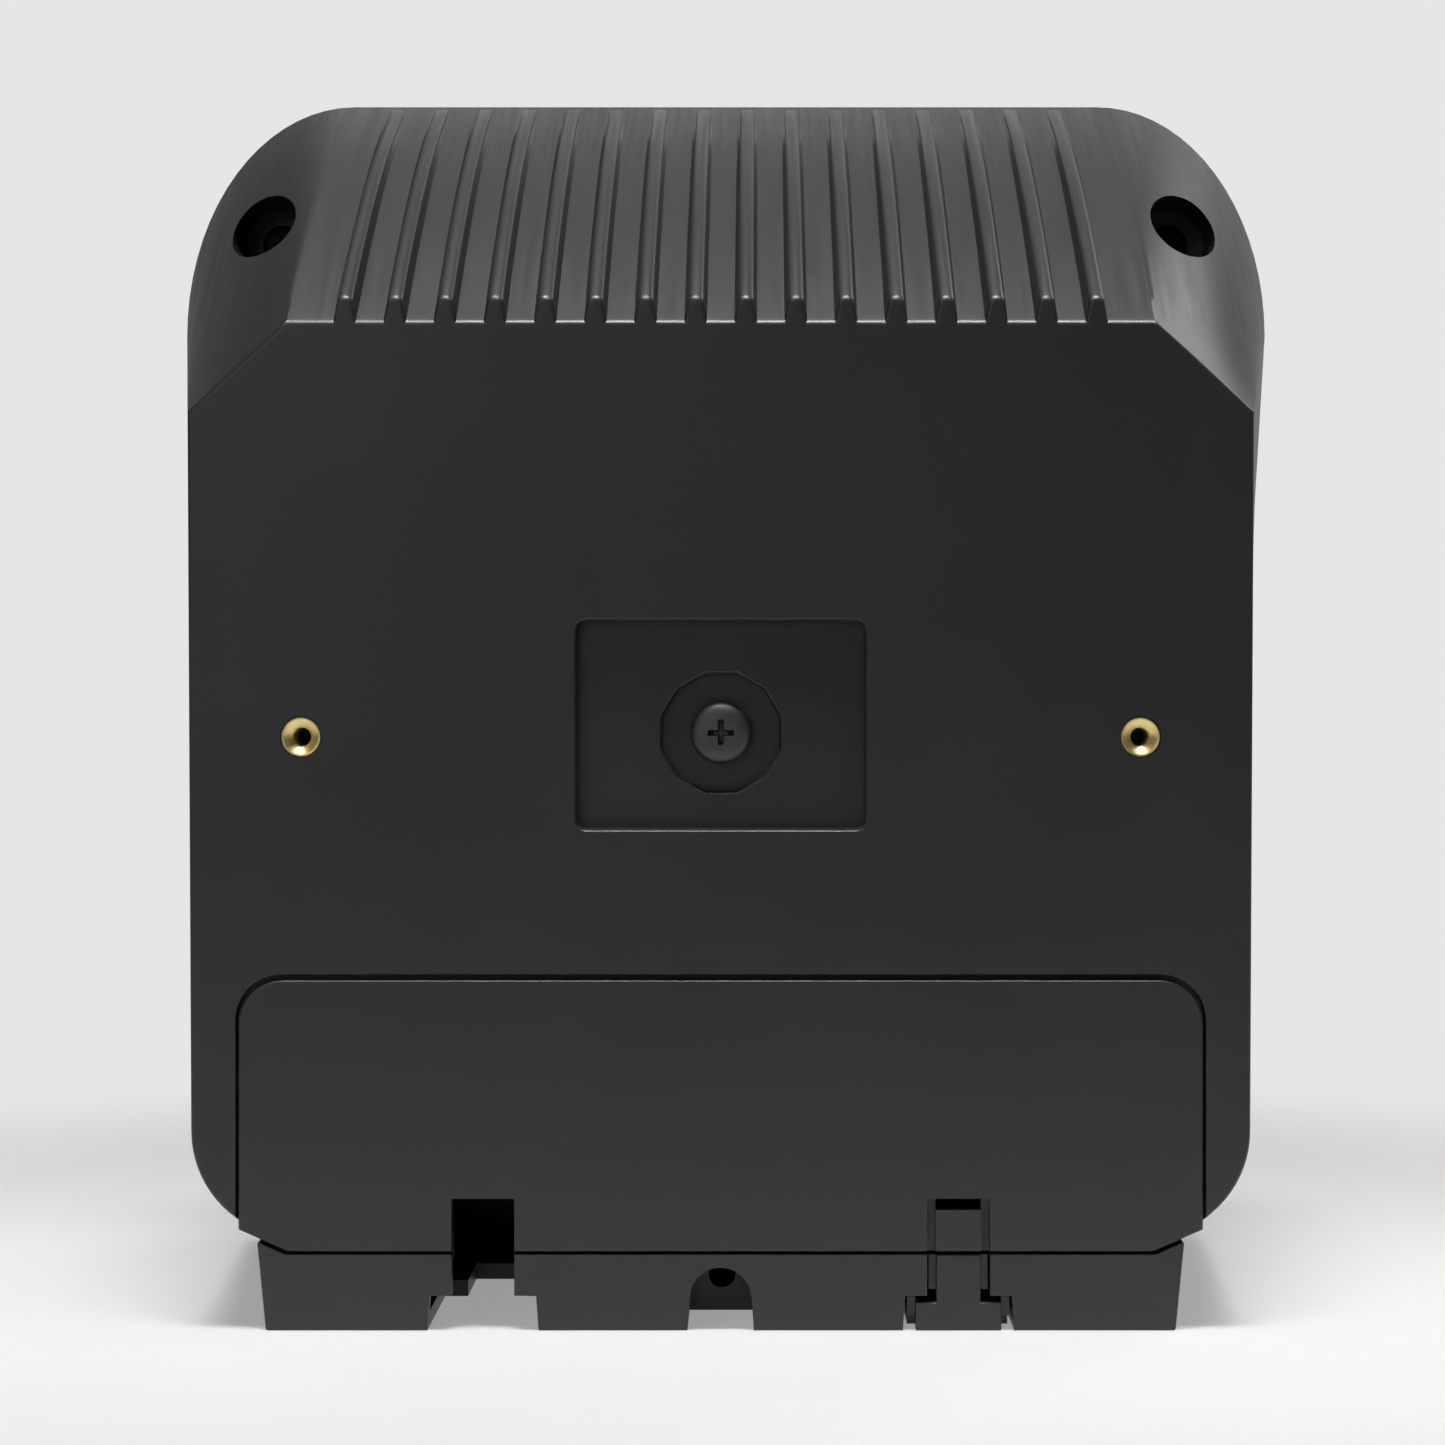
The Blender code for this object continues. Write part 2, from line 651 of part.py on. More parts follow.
def build_main_board():
    d = (BOARD_D, BOARD_D + BOARD_THICK)
    board = box("main_board", (-BOARD_HALF, BOARD_HALF), d, (BOARD_LOW, BOARD_HIGH), BOARD_GREEN)
    number = 0
    for z in (POST_LOW, POST_HIGH):
        for x in (-POST_X, POST_X):
            number += 1
            name = "board_screw_%d" % number
            cut(board, rod(name + "_hole", x, z, (d[0] - 2.0, d[1] + 2.0), 1.7, 12))
            pan_screw(name, x, z, d[1] + 0.1, 2.8, 2.0, BOARD_D - 10.0, 1.4, ZINC)


def build_power_stage():
    back = SPREADER_D
    front = SPREADER_D + SPREADER_THICK
    across = (-SPREADER_HALF, SPREADER_HALF)
    plate = box("heat_spreader", across, (back, front), (SPREADER_LOW, SPREADER_HIGH), ALUMINIUM)
    soften(plate, 0.6, 1)
    cut(plate, rod("spreader_hole", 0.0, CENTRE_Z, (back - 2.0, front + 2.0), CENTRE_SHANK_RADIUS + 0.2, 16))
    for index, x in enumerate(TRANSISTOR_XS):
        build_transistor("power_transistor_%d" % (index + 1), x, front + 0.2)


def build_transistor(name, x, base):
    """A flat package with a screw tab above and three legs bent over to the board."""
    across = (x - TRANSISTOR_WIDTH / 2.0, x + TRANSISTOR_WIDTH / 2.0)
    low = TRANSISTOR_Z
    high = TRANSISTOR_Z + TRANSISTOR_HEIGHT
    tip = high + TRANSISTOR_TAB
    body = box(name, across, (base, base + TRANSISTOR_THICK), (low, high), EPOXY)
    add(body, box(name + "_tab", across, (base, base + 1.3), (high - 1.0, tip)))
    cut(body, rod(name + "_eye", x, tip - 3.0, (base - 2.0, base + 4.0), 1.8, 12))
    near = base + TRANSISTOR_THICK * 0.4
    profile = [
        (near, low + 1.0),
        (near, low - 4.0),
        (BOARD_D - 0.2, low - 4.0),
        (BOARD_D - 0.2, low - 3.2),
        (near + 0.8, low - 3.2),
        (near + 0.8, low + 1.0),
    ]
    for number, shift in enumerate((-2.54, 0.0, 2.54)):
        leg_x = (x + shift - 0.4, x + shift + 0.4)
        add(body, bar("%s_leg_%d" % (name, number), profile, leg_x))


def pole_x(index):
    return (index - (POLES - 1) / 2.0) * POLE_PITCH


def build_terminals():
    half = POLES * POLE_PITCH / 2.0
    span = (BLOCK_D, BOARD_D - CLEARANCE)
    block = box("terminal_block", (-half, half), span, (BLOCK_LOW, BLOCK_HIGH), TERMINAL)
    for index in range(POLES):
        x = pole_x(index)
        tag = "%d" % (index + 1)
        cut(block, box("pole_" + tag, (x - 4.6, x + 4.6), (11.0, 22.0), (BLOCK_LOW - 2.0, 41.0)))
        cut(block, rod("pole_bore_" + tag, x, POLE_SCREW_Z, (4.0, 13.0), 3.7, 16))
        contact = "terminal_contact_" + tag
        box(contact, (x - 4.3, x + 4.3), (20.2, 21.8), (BLOCK_LOW + 1.0, 40.7), BRASS)
        build_terminal_screw("terminal_screw_" + tag, x)


def build_terminal_screw(name, x):
    z = POLE_SCREW_Z
    screw = rod(name, x, z, (7.6, 10.9), 3.4, 16, ZINC)
    add(screw, rod(name + "_shank", x, z, (10.5, 14.0), 2.0, 12))
    cut(screw, box(name + "_slot", (x - 4.0, x + 4.0), (7.0, 8.9), (z - 0.5, z + 0.5)))
    return screw


def build_board_parts():
    seat = BOARD_D + BOARD_THICK + 0.2
    half = CHOKE_SIZE / 2.0
    across = (CHOKE_X - half, CHOKE_X + half)
    choke = box("power_inductor", across, (seat, seat + CHOKE_HEIGHT), (CHOKE_Z - half, CHOKE_Z + half), FERRITE)
    soften(choke, 2.0, 2)
    for index, x in enumerate(CAPACITOR_XS):
        depth = (seat, seat + CAPACITOR_HEIGHT)
        can = rod("capacitor_%d" % (index + 1), x, CAPACITOR_Z, depth, CAPACITOR_RADIUS, 18, SLEEVE)
        soften(can, 0.8, 1)
    build_fuse(seat)


def build_fuse(seat):
    """A two-pole holder open at the front, and the blade fuse standing in it."""
    thick = FUSE_THICK / 2.0
    slot_half = FUSE_HALF + 0.7
    slot_thick = thick + 0.5
    holder_x = (-slot_half - HOLDER_WALL, slot_half + HOLDER_WALL)
    holder_z = (FUSE_Z - slot_thick - HOLDER_WALL * 0.8, FUSE_Z + slot_thick + HOLDER_WALL * 0.8)
    holder = box("fuse_holder", holder_x, (seat, seat + HOLDER_HEIGHT), holder_z, EPOXY)
    slot_z = (FUSE_Z - slot_thick, FUSE_Z + slot_thick)
    slot_depth = (seat + FUSE_SEAT - 2.5, seat + HOLDER_HEIGHT + 2.0)
    cut(holder, box("fuse_slot", (-slot_half, slot_half), slot_depth, slot_z))
    depth = (seat + FUSE_SEAT, seat + FUSE_SEAT + FUSE_HEIGHT)
    fuse = box("blade_fuse", (-FUSE_HALF, FUSE_HALF), depth, (FUSE_Z - thick, FUSE_Z + thick), FUSE)
    waist = (depth[0] - 0.5, depth[0] + 3.5)
    cut(fuse, box("fuse_waist", (-FUSE_HALF * 0.42, FUSE_HALF * 0.42), waist, slot_z))


def build_front_cover():
    """Shallow lid with a window, key holes, light holes and screw columns."""
    face = slab("front_cover", housing_outline(1.0, 0.4), (COVER_BACK, FRONT_FACE), BLACK)
    soften(face, 2.4, 2, 60.0)
    cut(face, slab("lid_hollow", housing_outline(1.0, 3.4), (COVER_BACK - 1.0, PLATE_BACK)))
    sink = FRONT_FACE - LID_SCREW_SINK - 0.1
    column = (COVER_BACK, PLATE_BACK + 1.0)
    for index, (x, z) in enumerate(lid_screw_spots()):
        add(face, rod("lid_column_%d" % index, x, z, column, LID_BOSS_RADIUS, 16))
        through = (COVER_BACK - 2.0, FRONT_FACE + 1.0)
        cut(face, rod("lid_pass_%d" % index, x, z, through, LID_SCREW_RADIUS + CLEARANCE, 12))
        cut(face, rod("lid_sink_%d" % index, x, z, (sink, FRONT_FACE + 2.0), LID_SCREW_HEAD + 0.4, 16))
    for tag, x in case_screw_spots():
        add(face, rod("case_column_" + tag, x, WELL_Z, column, LID_BOSS_RADIUS, 16))
        pilot = (COVER_BACK - 2.0, PLATE_BACK - 0.5)
        cut(face, rod("case_pilot_" + tag, x, WELL_Z, pilot, LID_SCREW_RADIUS + 0.2, 12))
    for index, (x, z) in enumerate(display_posts()):
        post = (DISPLAY_D + BOARD_THICK + CLEARANCE, PLATE_BACK + 1.0)
        add(face, rod("display_post_%d" % index, x, z, post, 3.2, 12))
        cut(face, rod("display_pilot_%d" % index, x, z, (DISPLAY_D, PLATE_BACK - 2.0), 1.3, 10))
    window = rounded_rectangle(WINDOW_HALF, WINDOW_LOW, WINDOW_HIGH, 3.0)
    cut(face, slab("window_opening", window, (PLATE_BACK - 2.0, FRONT_FACE + 1.0)))
    for index, x in enumerate(KEY_XS):
        through = (PLATE_BACK - 2.0, FRONT_FACE + 1.0)
        cut(face, rod("key_hole_%d" % index, x, KEY_Z, through, KEY_RADIUS + 0.3, 18))
    for index, z in enumerate(PIPE_ZS):
        through = (PLATE_BACK - 2.0, FRONT_FACE + 1.0)
        cut(face, rod("pipe_hole_%d" % index, PIPE_X, z, through, PIPE_RADIUS + 0.2, 12))


def display_posts():
    x = DISPLAY_HALF - DISPLAY_POST_INSET
    low = DISPLAY_LOW + DISPLAY_POST_INSET + 1.0
    high = DISPLAY_HIGH - DISPLAY_POST_INSET - 1.0
    return ((-x, low), (x, low), (-x, high), (x, high))


def build_seal():
    seal = slab("shell_gasket", housing_outline(1.0, 0.5), (REAR_DEPTH + 0.15, COVER_BACK - 0.15), RUBBER)
    middle = housing_outline(1.0, 2.3)
    cut(seal, slab("gasket_hollow", middle, (REAR_DEPTH - 1.0, COVER_BACK + 1.0)))


def build_display():
    d = (DISPLAY_D, DISPLAY_D + BOARD_THICK)
    across = (-DISPLAY_HALF, DISPLAY_HALF)
    board = box("display_board", across, d, (DISPLAY_LOW, DISPLAY_HIGH), BOARD_GREEN)
    for index, (x, z) in enumerate(display_posts()):
        cut(board, rod("display_hole_%d" % index, x, z, (d[0] - 2.0, d[1] + 2.0), 1.5, 10))
    for index, (x, z) in enumerate(display_posts()[:2]):
        tip = PLATE_BACK - 4.0
        pan_screw("display_screw_%d" % (index + 1), x, z, d[0] - 0.1, 2.4, 1.6, tip, 1.1, ZINC)
    depth = (d[1] + 0.2, PLATE_BACK - CLEARANCE)
    half = WINDOW_HALF + MODULE_MARGIN
    height = (WINDOW_LOW - MODULE_MARGIN, WINDOW_HIGH + MODULE_MARGIN)
    module = box("display_module", (-half, half), depth, height, SCREEN)
    soften(module, 0.5, 1)
    pane = rounded_rectangle(WINDOW_HALF - 0.25, WINDOW_LOW + 0.25, WINDOW_HIGH - 0.25, 2.8)
    slab("display_window", pane, (PLATE_BACK, FRONT_FACE - 0.4), GLASS)
    for index, z in enumerate(PIPE_ZS):
        rod("light_pipe_%d" % (index + 1), PIPE_X, z, (d[1] + 0.2, FRONT_FACE + 0.2), PIPE_RADIUS, 12, CLEAR)


def build_keys():
    seat = DISPLAY_D + BOARD_THICK + 0.2
    for index, x in enumerate(KEY_XS):
        name = KEY_NAMES[index]
        cap = rod(name, x, KEY_Z, (PLATE_BACK - 1.5, TOTAL_DEPTH), KEY_RADIUS, 18, KEY_GREY)
        soften(cap, 0.4, 1)
        flange = (PLATE_BACK - 2.4, PLATE_BACK - CLEARANCE)
        add(cap, rod(name + "_flange", x, KEY_Z, flange, KEY_RADIUS + 1.5, 18))
        switch = "key_switch_%d" % (index + 1)
        body = box(switch, (x - 3.0, x + 3.0), (seat, seat + 3.6), (KEY_Z - 3.0, KEY_Z + 3.0), EPOXY)
        top = PLATE_BACK - 2.4 - KEY_TRAVEL - CLEARANCE
        add(body, rod(switch + "_plunger", x, KEY_Z, (seat + 3.0, top), 1.6, 12))


def build_fasteners():
    head = POCKET_FLOOR - 0.1
    pan_screw(
        "centre_screw", 0.0, CENTRE_Z, head, CENTRE_HEAD_RADIUS, CENTRE_HEAD_HEIGHT, 11.0,
        CENTRE_SHANK_RADIUS, STEEL,
    )
    head = (LID_SCREW_HEAD, LID_SCREW_HEAD_HEIGHT)
    seat = FRONT_FACE - LID_SCREW_SINK
    tip = REAR_DEPTH - LID_BOSS_LENGTH + 4.0
    for index, (x, z) in enumerate(lid_screw_spots()):
        pan_screw("front_screw_%d" % (index + 1), x, z, seat, *head, tip, LID_SCREW_RADIUS, STEEL)
    seat = WELL_FLOOR - 0.1
    tip = PLATE_BACK - 1.0
    for tag, x in case_screw_spots():
        pan_screw("case_screw_" + tag, x, WELL_Z, seat, *head, tip, LID_SCREW_RADIUS, STEEL)


build_rear_shell()
build_wiring_cover()
build_outlet_plug()
build_insert("mounting_insert_left", -INSERT_X)
build_insert("mounting_insert_right", INSERT_X)
build_main_board()
build_power_stage()
build_terminals()
build_board_parts()
build_front_cover()
build_seal()
build_display()
build_keys()
build_fasteners()
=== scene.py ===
"""Looks for the wall charge controller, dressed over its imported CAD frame.

Lengths are in millimetres and are turned into metres where a mesh is made.
x runs to the right as seen from the back, d is the depth behind the back plane, z runs up from the foot.
An outline lists points in x and z. A turned profile lists points in radius and depth.
"""

import math
from contextlib import contextmanager

import bpy
from mathutils import Matrix, Vector


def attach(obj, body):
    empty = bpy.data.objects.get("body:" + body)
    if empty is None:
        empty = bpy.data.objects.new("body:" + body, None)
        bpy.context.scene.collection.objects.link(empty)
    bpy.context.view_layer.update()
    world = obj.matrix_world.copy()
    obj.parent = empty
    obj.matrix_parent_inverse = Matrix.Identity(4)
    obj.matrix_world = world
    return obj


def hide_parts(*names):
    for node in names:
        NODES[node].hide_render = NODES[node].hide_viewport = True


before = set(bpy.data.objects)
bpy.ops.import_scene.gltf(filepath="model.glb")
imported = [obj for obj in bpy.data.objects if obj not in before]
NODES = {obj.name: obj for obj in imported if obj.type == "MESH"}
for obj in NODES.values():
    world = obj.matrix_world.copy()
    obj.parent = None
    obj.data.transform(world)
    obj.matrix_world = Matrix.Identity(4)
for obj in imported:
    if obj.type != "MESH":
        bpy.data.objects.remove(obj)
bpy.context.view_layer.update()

MM = 0.001
SIDES = (-1.0, 1.0)

# Housing sizes, as in the part's source
REAR_DEPTH = 74.0
COVER_BACK = 75.3
FRONT_FACE = 84.0
PLATE_BACK = 81.0
TOTAL_DEPTH = 85.0
WALL = 2.5
BULGE = 0.26
BACK_HALF = 80.0
BACK_LOW_HALF = 79.5
BACK_TOP = 151.35
BACK_TOP_HALF = 65.2
BACK_SHOULDER = 137.85
BACK_FOOT = 14.0
BACK_FOOT_RADIUS = 16.0
RIM_HALF = 93.3
RIM_LOW_HALF = 85.0
RIM_TOP = 197.3
RIM_TOP_HALF = 64.2
RIM_SHOULDER = 157.6
RIM_FOOT = 0.0
RIM_FOOT_RADIUS = 18.0
FINE_STEPS = 18
COARSE_STEPS = 8
SIDE_STEPS = 6

# Fins on the slope
FIN_COUNT = 16
FIN_PITCH = 7.53
FIN_ROOT_HALF = 1.62
FIN_CREST_HALF = 1.2
FIN_CREST_ROUND = 0.85
FIN_FLARE = 0.14
FIN_HEIGHT = 3.7
FIN_FADE = 0.65
FIN_END = 0.985
FIN_ROOT = -1.4
FIN_STEPS = 36

# Skirt and outlets; the skirt's top and the cover's foot lie 0.45 mm lower than in the solids
SKIRT_HALF_TOP = 69.6
SKIRT_HALF_FOOT = 68.3
SKIRT_SHOULDER = 13.0
SKIRT_ROOT = 20.0
SKIRT_TOP = 11.4
SKIRT_INSIDE = 66.0
OUTLET_X = 35.7
OUTLET_HALF = 4.725
OUTLET_TOP = 19.8
OUTLET_DEPTH = 43.0
WING_HALF = 8.0
WING_TOP = 5.25
WING_DEPTH = 28.0
ARCH_RADIUS = 4.65
ARCH_TOP = 9.45
ARCH_DEPTH = 16.5
ARCH_BLOCK_HALF = 7.2
ARCH_HOLE_RADIUS = 2.1
ARCH_HOLE_Z = 5.6
FOOT_DRAFT = 0.07

# Wiring cover
COVER_HALF = 72.4
COVER_TOP = 52.6
COVER_FOOT = 11.85
COVER_THICK = 2.5
COVER_RADIUS = 6.5
COVER_CUT_X = 7.5
COVER_CUT_Z = 3.3
COVER_GAP = 0.45
COVER_TOP_GAP = 0.9
COVER_EDGE = 0.35
LEDGE = 3.5
LEDGE_BACK = 5.3
RIM_GAP = 0.5
RIM_WALL = 1.6
TAB_HALF = 3.4
TAB_GAP = 1.7
SCORE_DEPTH = 1.3

# Inserts, recess and screw wells
INSERT_X = 63.0
INSERT_Z = 89.1
INSERT_RADIUS = 3.0
INSERT_BORE = 1.65
INSERT_LENGTH = 9.0
RECESS_HALF = 21.75
RECESS_LOW = 75.15
RECESS_HIGH = 106.65
RECESS_DEPTH = 3.0
RECESS_RADIUS = 4.0
RECESS_CORNER = 1.5
POCKET_RADIUS = 9.3
POCKET_FLOOR = 4.8
POCKET_BACK = 7.0
ROUNDED_LIP = ((0.0, 0.4), (0.06, 0.22), (0.2, 0.08), (0.45, 0.0))
WALL_LEAN = -0.2
WELL_X = 74.2
WELL_Z = 171.0
WELL_RADIUS = 6.1
WELL_WALL = 2.0
WELL_BEGIN = 8.0
WELL_FLOOR = 58.0

# Screws and what they are driven into
CENTRE_Z = 89.7
CENTRE_HEAD_RADIUS = 4.65
CENTRE_HEAD_HEIGHT = 3.2
CENTRE_SHANK = 2.3
CENTRE_HOLE = 2.5
CENTRE_TIP = 11.0
CASE_HEAD_RADIUS = 3.3
CASE_HEAD_HEIGHT = 2.4
CASE_SHANK = 1.6
CASE_PILOT = 1.8
CASE_PASS = 1.9
CASE_BOSS_RADIUS = 5.0
SEAT_GAP = 0.1
CASE_SPOTS = ((-WELL_X, WELL_Z), (WELL_X, WELL_Z))
LID_SPOTS = ((-74.28, 11.94), (74.28, 11.94))
LID_BOSS_LENGTH = 16.0
LID_PILOT_LENGTH = 14.0
LID_TIP = 62.0
LID_SINK = 3.8
LID_SINK_RADIUS = 3.7
INSERT_BOSS_RADIUS = 5.2
INSERT_BOSS_END = 12.0
POST_X = 58.0
POST_ZS = (64.0, 138.0)
POST_RADIUS = 4.0
POST_PILOT = 1.6
POST_PILOT_LENGTH = 12.0
BOARD_D = 26.0
BOARD_GAP = 0.3
INNER_ROOT = 1.5

# Terminal screws
POLE_COUNT = 6
POLE_PITCH = 13.0
POLE_Z = 35.0
POLE_TOP = 7.6
POLE_SEAT = 10.9
POLE_TIP = 14.0
POLE_HEAD = 3.4
POLE_SHANK = 2.0
POLE_CHAMFER = 0.35
POLE_SLOT_FLOOR = 8.9
POLE_SLOT_HALF = 0.5
POLE_THREAD = 0.6

# Front cover and its controls
LID_INSET = 0.4
LID_WALL = 3.0
LID_EDGE = 2.4
WINDOW_HALF = 33.0
WINDOW_LOW = 124.0
WINDOW_HIGH = 160.0
WINDOW_RADIUS = 3.0
PANE_GAP = 0.25
PANE_RADIUS = 2.8
KEY_Z = 106.0
KEY_SPOTS = (("key_up", -30.0), ("key_down", -10.0), ("key_enter", 10.0), ("key_escape", 30.0))
KEY_RADIUS = 5.0
KEY_GAP = 0.3
KEY_FLANGE = 1.5
KEY_FLANGE_BACK = 2.4
KEY_LIP = 1.5
MARK_HALF = 1.7
MARK_BASE = 1.1
DOT_RADIUS = 1.4
DASH_HALF = 1.5
DASH_RISE = 0.35
PIPE_X = 40.0
PIPE_ZS = (130.0, 142.0, 154.0)
PIPE_RADIUS = 2.0
PIPE_GAP = 0.2
PIPE_LIP = 1.0
PIPE_DOME = 0.6
SUNK = 0.4
DISPLAY_POSTS = ((-43.0, 100.0), (43.0, 100.0), (-43.0, 167.0), (43.0, 167.0))
DISPLAY_POST_RADIUS = 3.2
DISPLAY_PILOT = 1.3
DISPLAY_D = 70.0
DISPLAY_POST_BACK = DISPLAY_D + 1.9
PIPE_BACK = DISPLAY_D + 1.8

# Cutters: how far they run past a face, where they start behind the back, and a very wide half width
PAST = 1.0
OUTSIDE = -PAST
WIDE = 100.0

# Camera, from the photograph's framing; metres, with the lens in millimetres
CAMERA_SPOT = (0.0059, -0.5225, 0.09465)
CAMERA_SENSOR = 36.0
CAMERA_LENS = 79.7
CAMERA_SHIFT = (-0.02595, -0.01557)


# Shader maths

class Value:
    """A node socket that arithmetic turns into Math nodes."""

    def __init__(self, tree, socket):
        self.tree = tree
        self.socket = socket

    def math(self, operation, first, second=0.0):
        node = self.tree.nodes.new("ShaderNodeMath")
        node.operation = operation
        for socket, value in zip(node.inputs, (first, second)):
            if isinstance(value, Value):
                self.tree.links.new(value.socket, socket)
            else:
                socket.default_value = value
        return Value(self.tree, node.outputs[0])

    def __add__(self, other):
        return self.math("ADD", self, other)

    def __radd__(self, other):
        return self.math("ADD", other, self)

    def __sub__(self, other):
        return self.math("SUBTRACT", self, other)

    def __rsub__(self, other):
        return self.math("SUBTRACT", other, self)

    def __mul__(self, other):
        return self.math("MULTIPLY", self, other)

    def __rmul__(self, other):
        return self.math("MULTIPLY", other, self)

    def __gt__(self, other):
        return self.math("GREATER_THAN", self, other)

    def __lt__(self, other):
        return self.math("LESS_THAN", self, other)

    def __abs__(self):
        return self.math("ABSOLUTE", self)

    def most(self, other):
        return self.math("MAXIMUM", self, other)

    def fraction(self):
        return self.math("FRACT", self)


class Finish:
    """One material: a Principled shader and the nodes that feed it."""

    def __init__(self, name, **constants):
        self.material = bpy.data.materials.new(name)
        self.material.use_nodes = True
        self.tree = self.material.node_tree
        self.shader = self.tree.nodes["Principled BSDF"]
        for socket, value in constants.items():
            self.feed(socket.replace("_", " "), value)

    def feed(self, socket, value):
        if isinstance(value, Value):
            self.tree.links.new(value.socket, self.shader.inputs[socket])
        else:
            self.shader.inputs[socket].default_value = value

    def node(self, kind, settings=None, output=0, **inputs):
        """Adds a node: its settings first, then the values or links of its sockets."""
        node = self.tree.nodes.new("ShaderNode" + kind)
        for key, value in (settings or {}).items():
            setattr(node, key, value)
        for key, value in inputs.items():
            socket = node.inputs[int(key[1:])] if key[0] == "_" else node.inputs[key.replace("_", " ")]
            if isinstance(value, Value):
                self.tree.links.new(value.socket, socket)
            else:
                socket.default_value = value
        return Value(self.tree, node.outputs[output])

    def points(self, scale=(1.0, 1.0, 1.0)):
        """The place on the piece, in metres times a scale."""
        place_on_piece = self.node("TexCoord", output="Object")
        return self.node("Mapping", Vector=place_on_piece, Scale=scale)

    def along(self, axis, scale=(1.0, 1.0, 1.0)):
        return self.node("SeparateXYZ", output=axis, Vector=self.points(scale))

    def stripes(self, axis, per_metre):
        """How far a point lies across its stripe, from 0 to 1."""
        return self.along(axis, (per_metre, 1.0, per_metre)).fraction()

    def noise(self, scale, detail=2.0, stretch=(1.0, 1.0, 1.0), roughness=0.5):
        where = self.points(stretch)
        return self.node("TexNoise", Vector=where, Scale=scale, Detail=detail, Roughness=roughness)

    def smooth_step(self, value, start, end, lowest=0.0):
        """Rises smoothly from its lowest value at the start to 1 at the end."""
        settings = {"interpolation_type": "SMOOTHSTEP"}
        return self.node("MapRange", settings, Value=value, From_Min=start, From_Max=end, To_Min=lowest)

    def colours(self, factor, first, second):
        """Mixes two colours, each of them three numbers or the result of another mix."""
        ends = [end if isinstance(end, Value) else (*end, 1.0) for end in (first, second)]
        return self.node("Mix", {"data_type": "RGBA"}, 2, _0=factor, _6=ends[0], _7=ends[1])

    def bump(self, height, strength, distance):
        self.feed("Normal", self.node("Bump", Height=height, Strength=strength, Distance=distance))


# Materials

def drawn_streaks(finish):
    """Faint streaks down the finned slope, where the tool was drawn; nothing elsewhere."""
    slope_foot = (BACK_TOP + 0.8) * MM
    seam = (REAR_DEPTH - TOTAL_DEPTH / 2.0) * MM
    on_slope = (finish.along("Z") > slope_foot) * (finish.along("Y") < seam)
    streaks = finish.noise(900.0, 3.0, (1.0, 0.03, 0.03), 0.6) - 0.5
    return on_slope * streaks


def moulded_plastic(name, colour, roughness, grain=0.12):
    """Black moulding: fine spark-eroded grain, broad uneven gloss, slightly rubbed in places."""
    finish = Finish(name, IOR=1.54)
    broad = finish.noise(26.0, 3.0)
    rubbed = finish.noise(140.0, 4.0, (1.0, 1.0, 0.35), 0.65)
    grains = finish.noise(2400.0, 1.0)
    lighter = tuple(value * 1.35 + 0.002 for value in colour)
    uneven_gloss = roughness - 0.07 + 0.10 * broad + 0.06 * rubbed
    finish.feed("Base Color", finish.colours(0.7 * broad * rubbed + 0.1, colour, lighter))
    finish.feed("Roughness", uneven_gloss + 0.3 * drawn_streaks(finish))
    finish.bump(grains + 0.25 * rubbed, grain, 0.00012)
    return finish.material


def turned_brass():
    """Bright brass with fine turning marks."""
    finish = Finish("turned_brass", Metallic=1.0)
    marks = finish.noise(700.0, 2.0, (1.0, 4.0, 1.0))
    tarnish = finish.noise(420.0, 3.0)
    finish.feed("Base Color", finish.colours(tarnish, (0.92, 0.77, 0.37), (0.75, 0.60, 0.23)))
    finish.feed("Roughness", 0.28 + 0.2 * marks)
    finish.bump(marks, 0.12, 0.00006)
    return finish.material


def metal(name, colour, dull, roughness, streak=(1.0, 1.0, 1.0)):
    """A plain metal with an uneven, lightly streaked surface."""
    finish = Finish(name, Metallic=1.0)
    patches = finish.noise(180.0, 4.0)
    lines = finish.noise(900.0, 2.0, streak)
    finish.feed("Base Color", finish.colours(patches, colour, dull))
    finish.feed("Roughness", roughness - 0.08 + 0.18 * lines)
    finish.bump(lines, 0.08, 0.00008)
    return finish.material


def plain_plastic(name, colour, shade, roughness, grain=0.08):
    """A small coloured moulding, slightly uneven in tone and gloss."""
    finish = Finish(name)
    broad = finish.noise(90.0, 3.0)
    grains = finish.noise(2600.0, 1.0)
    finish.feed("Base Color", finish.colours(broad, colour, shade))
    finish.feed("Roughness", roughness - 0.06 + 0.12 * broad)
    finish.bump(grains, grain, 0.0001)
    return finish.material


def board_mask():
    """Green solder mask with raised copper tracks under it, in patches that run across or up."""
    finish = Finish("green_board", Coat_Weight=0.3)
    tracks_per_metre = 420.0
    track_share = 0.34
    upright_runs = finish.stripes("X", tracks_per_metre) < track_share
    level_runs = finish.stripes("Z", tracks_per_metre) < track_share
    upright = finish.noise(45.0, 0.0) > 0.5
    present = finish.noise(75.0, 1.0) > 0.46
    tracks = present * (upright * upright_runs + (1.0 - upright) * level_runs)
    mottled = finish.noise(60.0, 3.0)
    ground = finish.colours(mottled, (0.012, 0.105, 0.045), (0.018, 0.14, 0.06))
    finish.feed("Base Color", finish.colours(tracks, ground, (0.03, 0.19, 0.08)))
    finish.feed("Roughness", 0.42 - 0.12 * tracks + 0.08 * mottled)
    finish.bump(tracks, 0.3, 0.00006)
    return finish.material


def ferrite_block():
    """Dark pressed ferrite, pitted all over."""
    finish = Finish("sintered_ferrite")
    pits = finish.noise(900.0, 4.0, roughness=0.7)
    finish.feed("Base Color", finish.colours(pits, (0.03, 0.03, 0.033), (0.075, 0.073, 0.072)))
    finish.feed("Roughness", 0.55 + 0.25 * pits)
    finish.bump(pits, 0.35, 0.0002)
    return finish.material


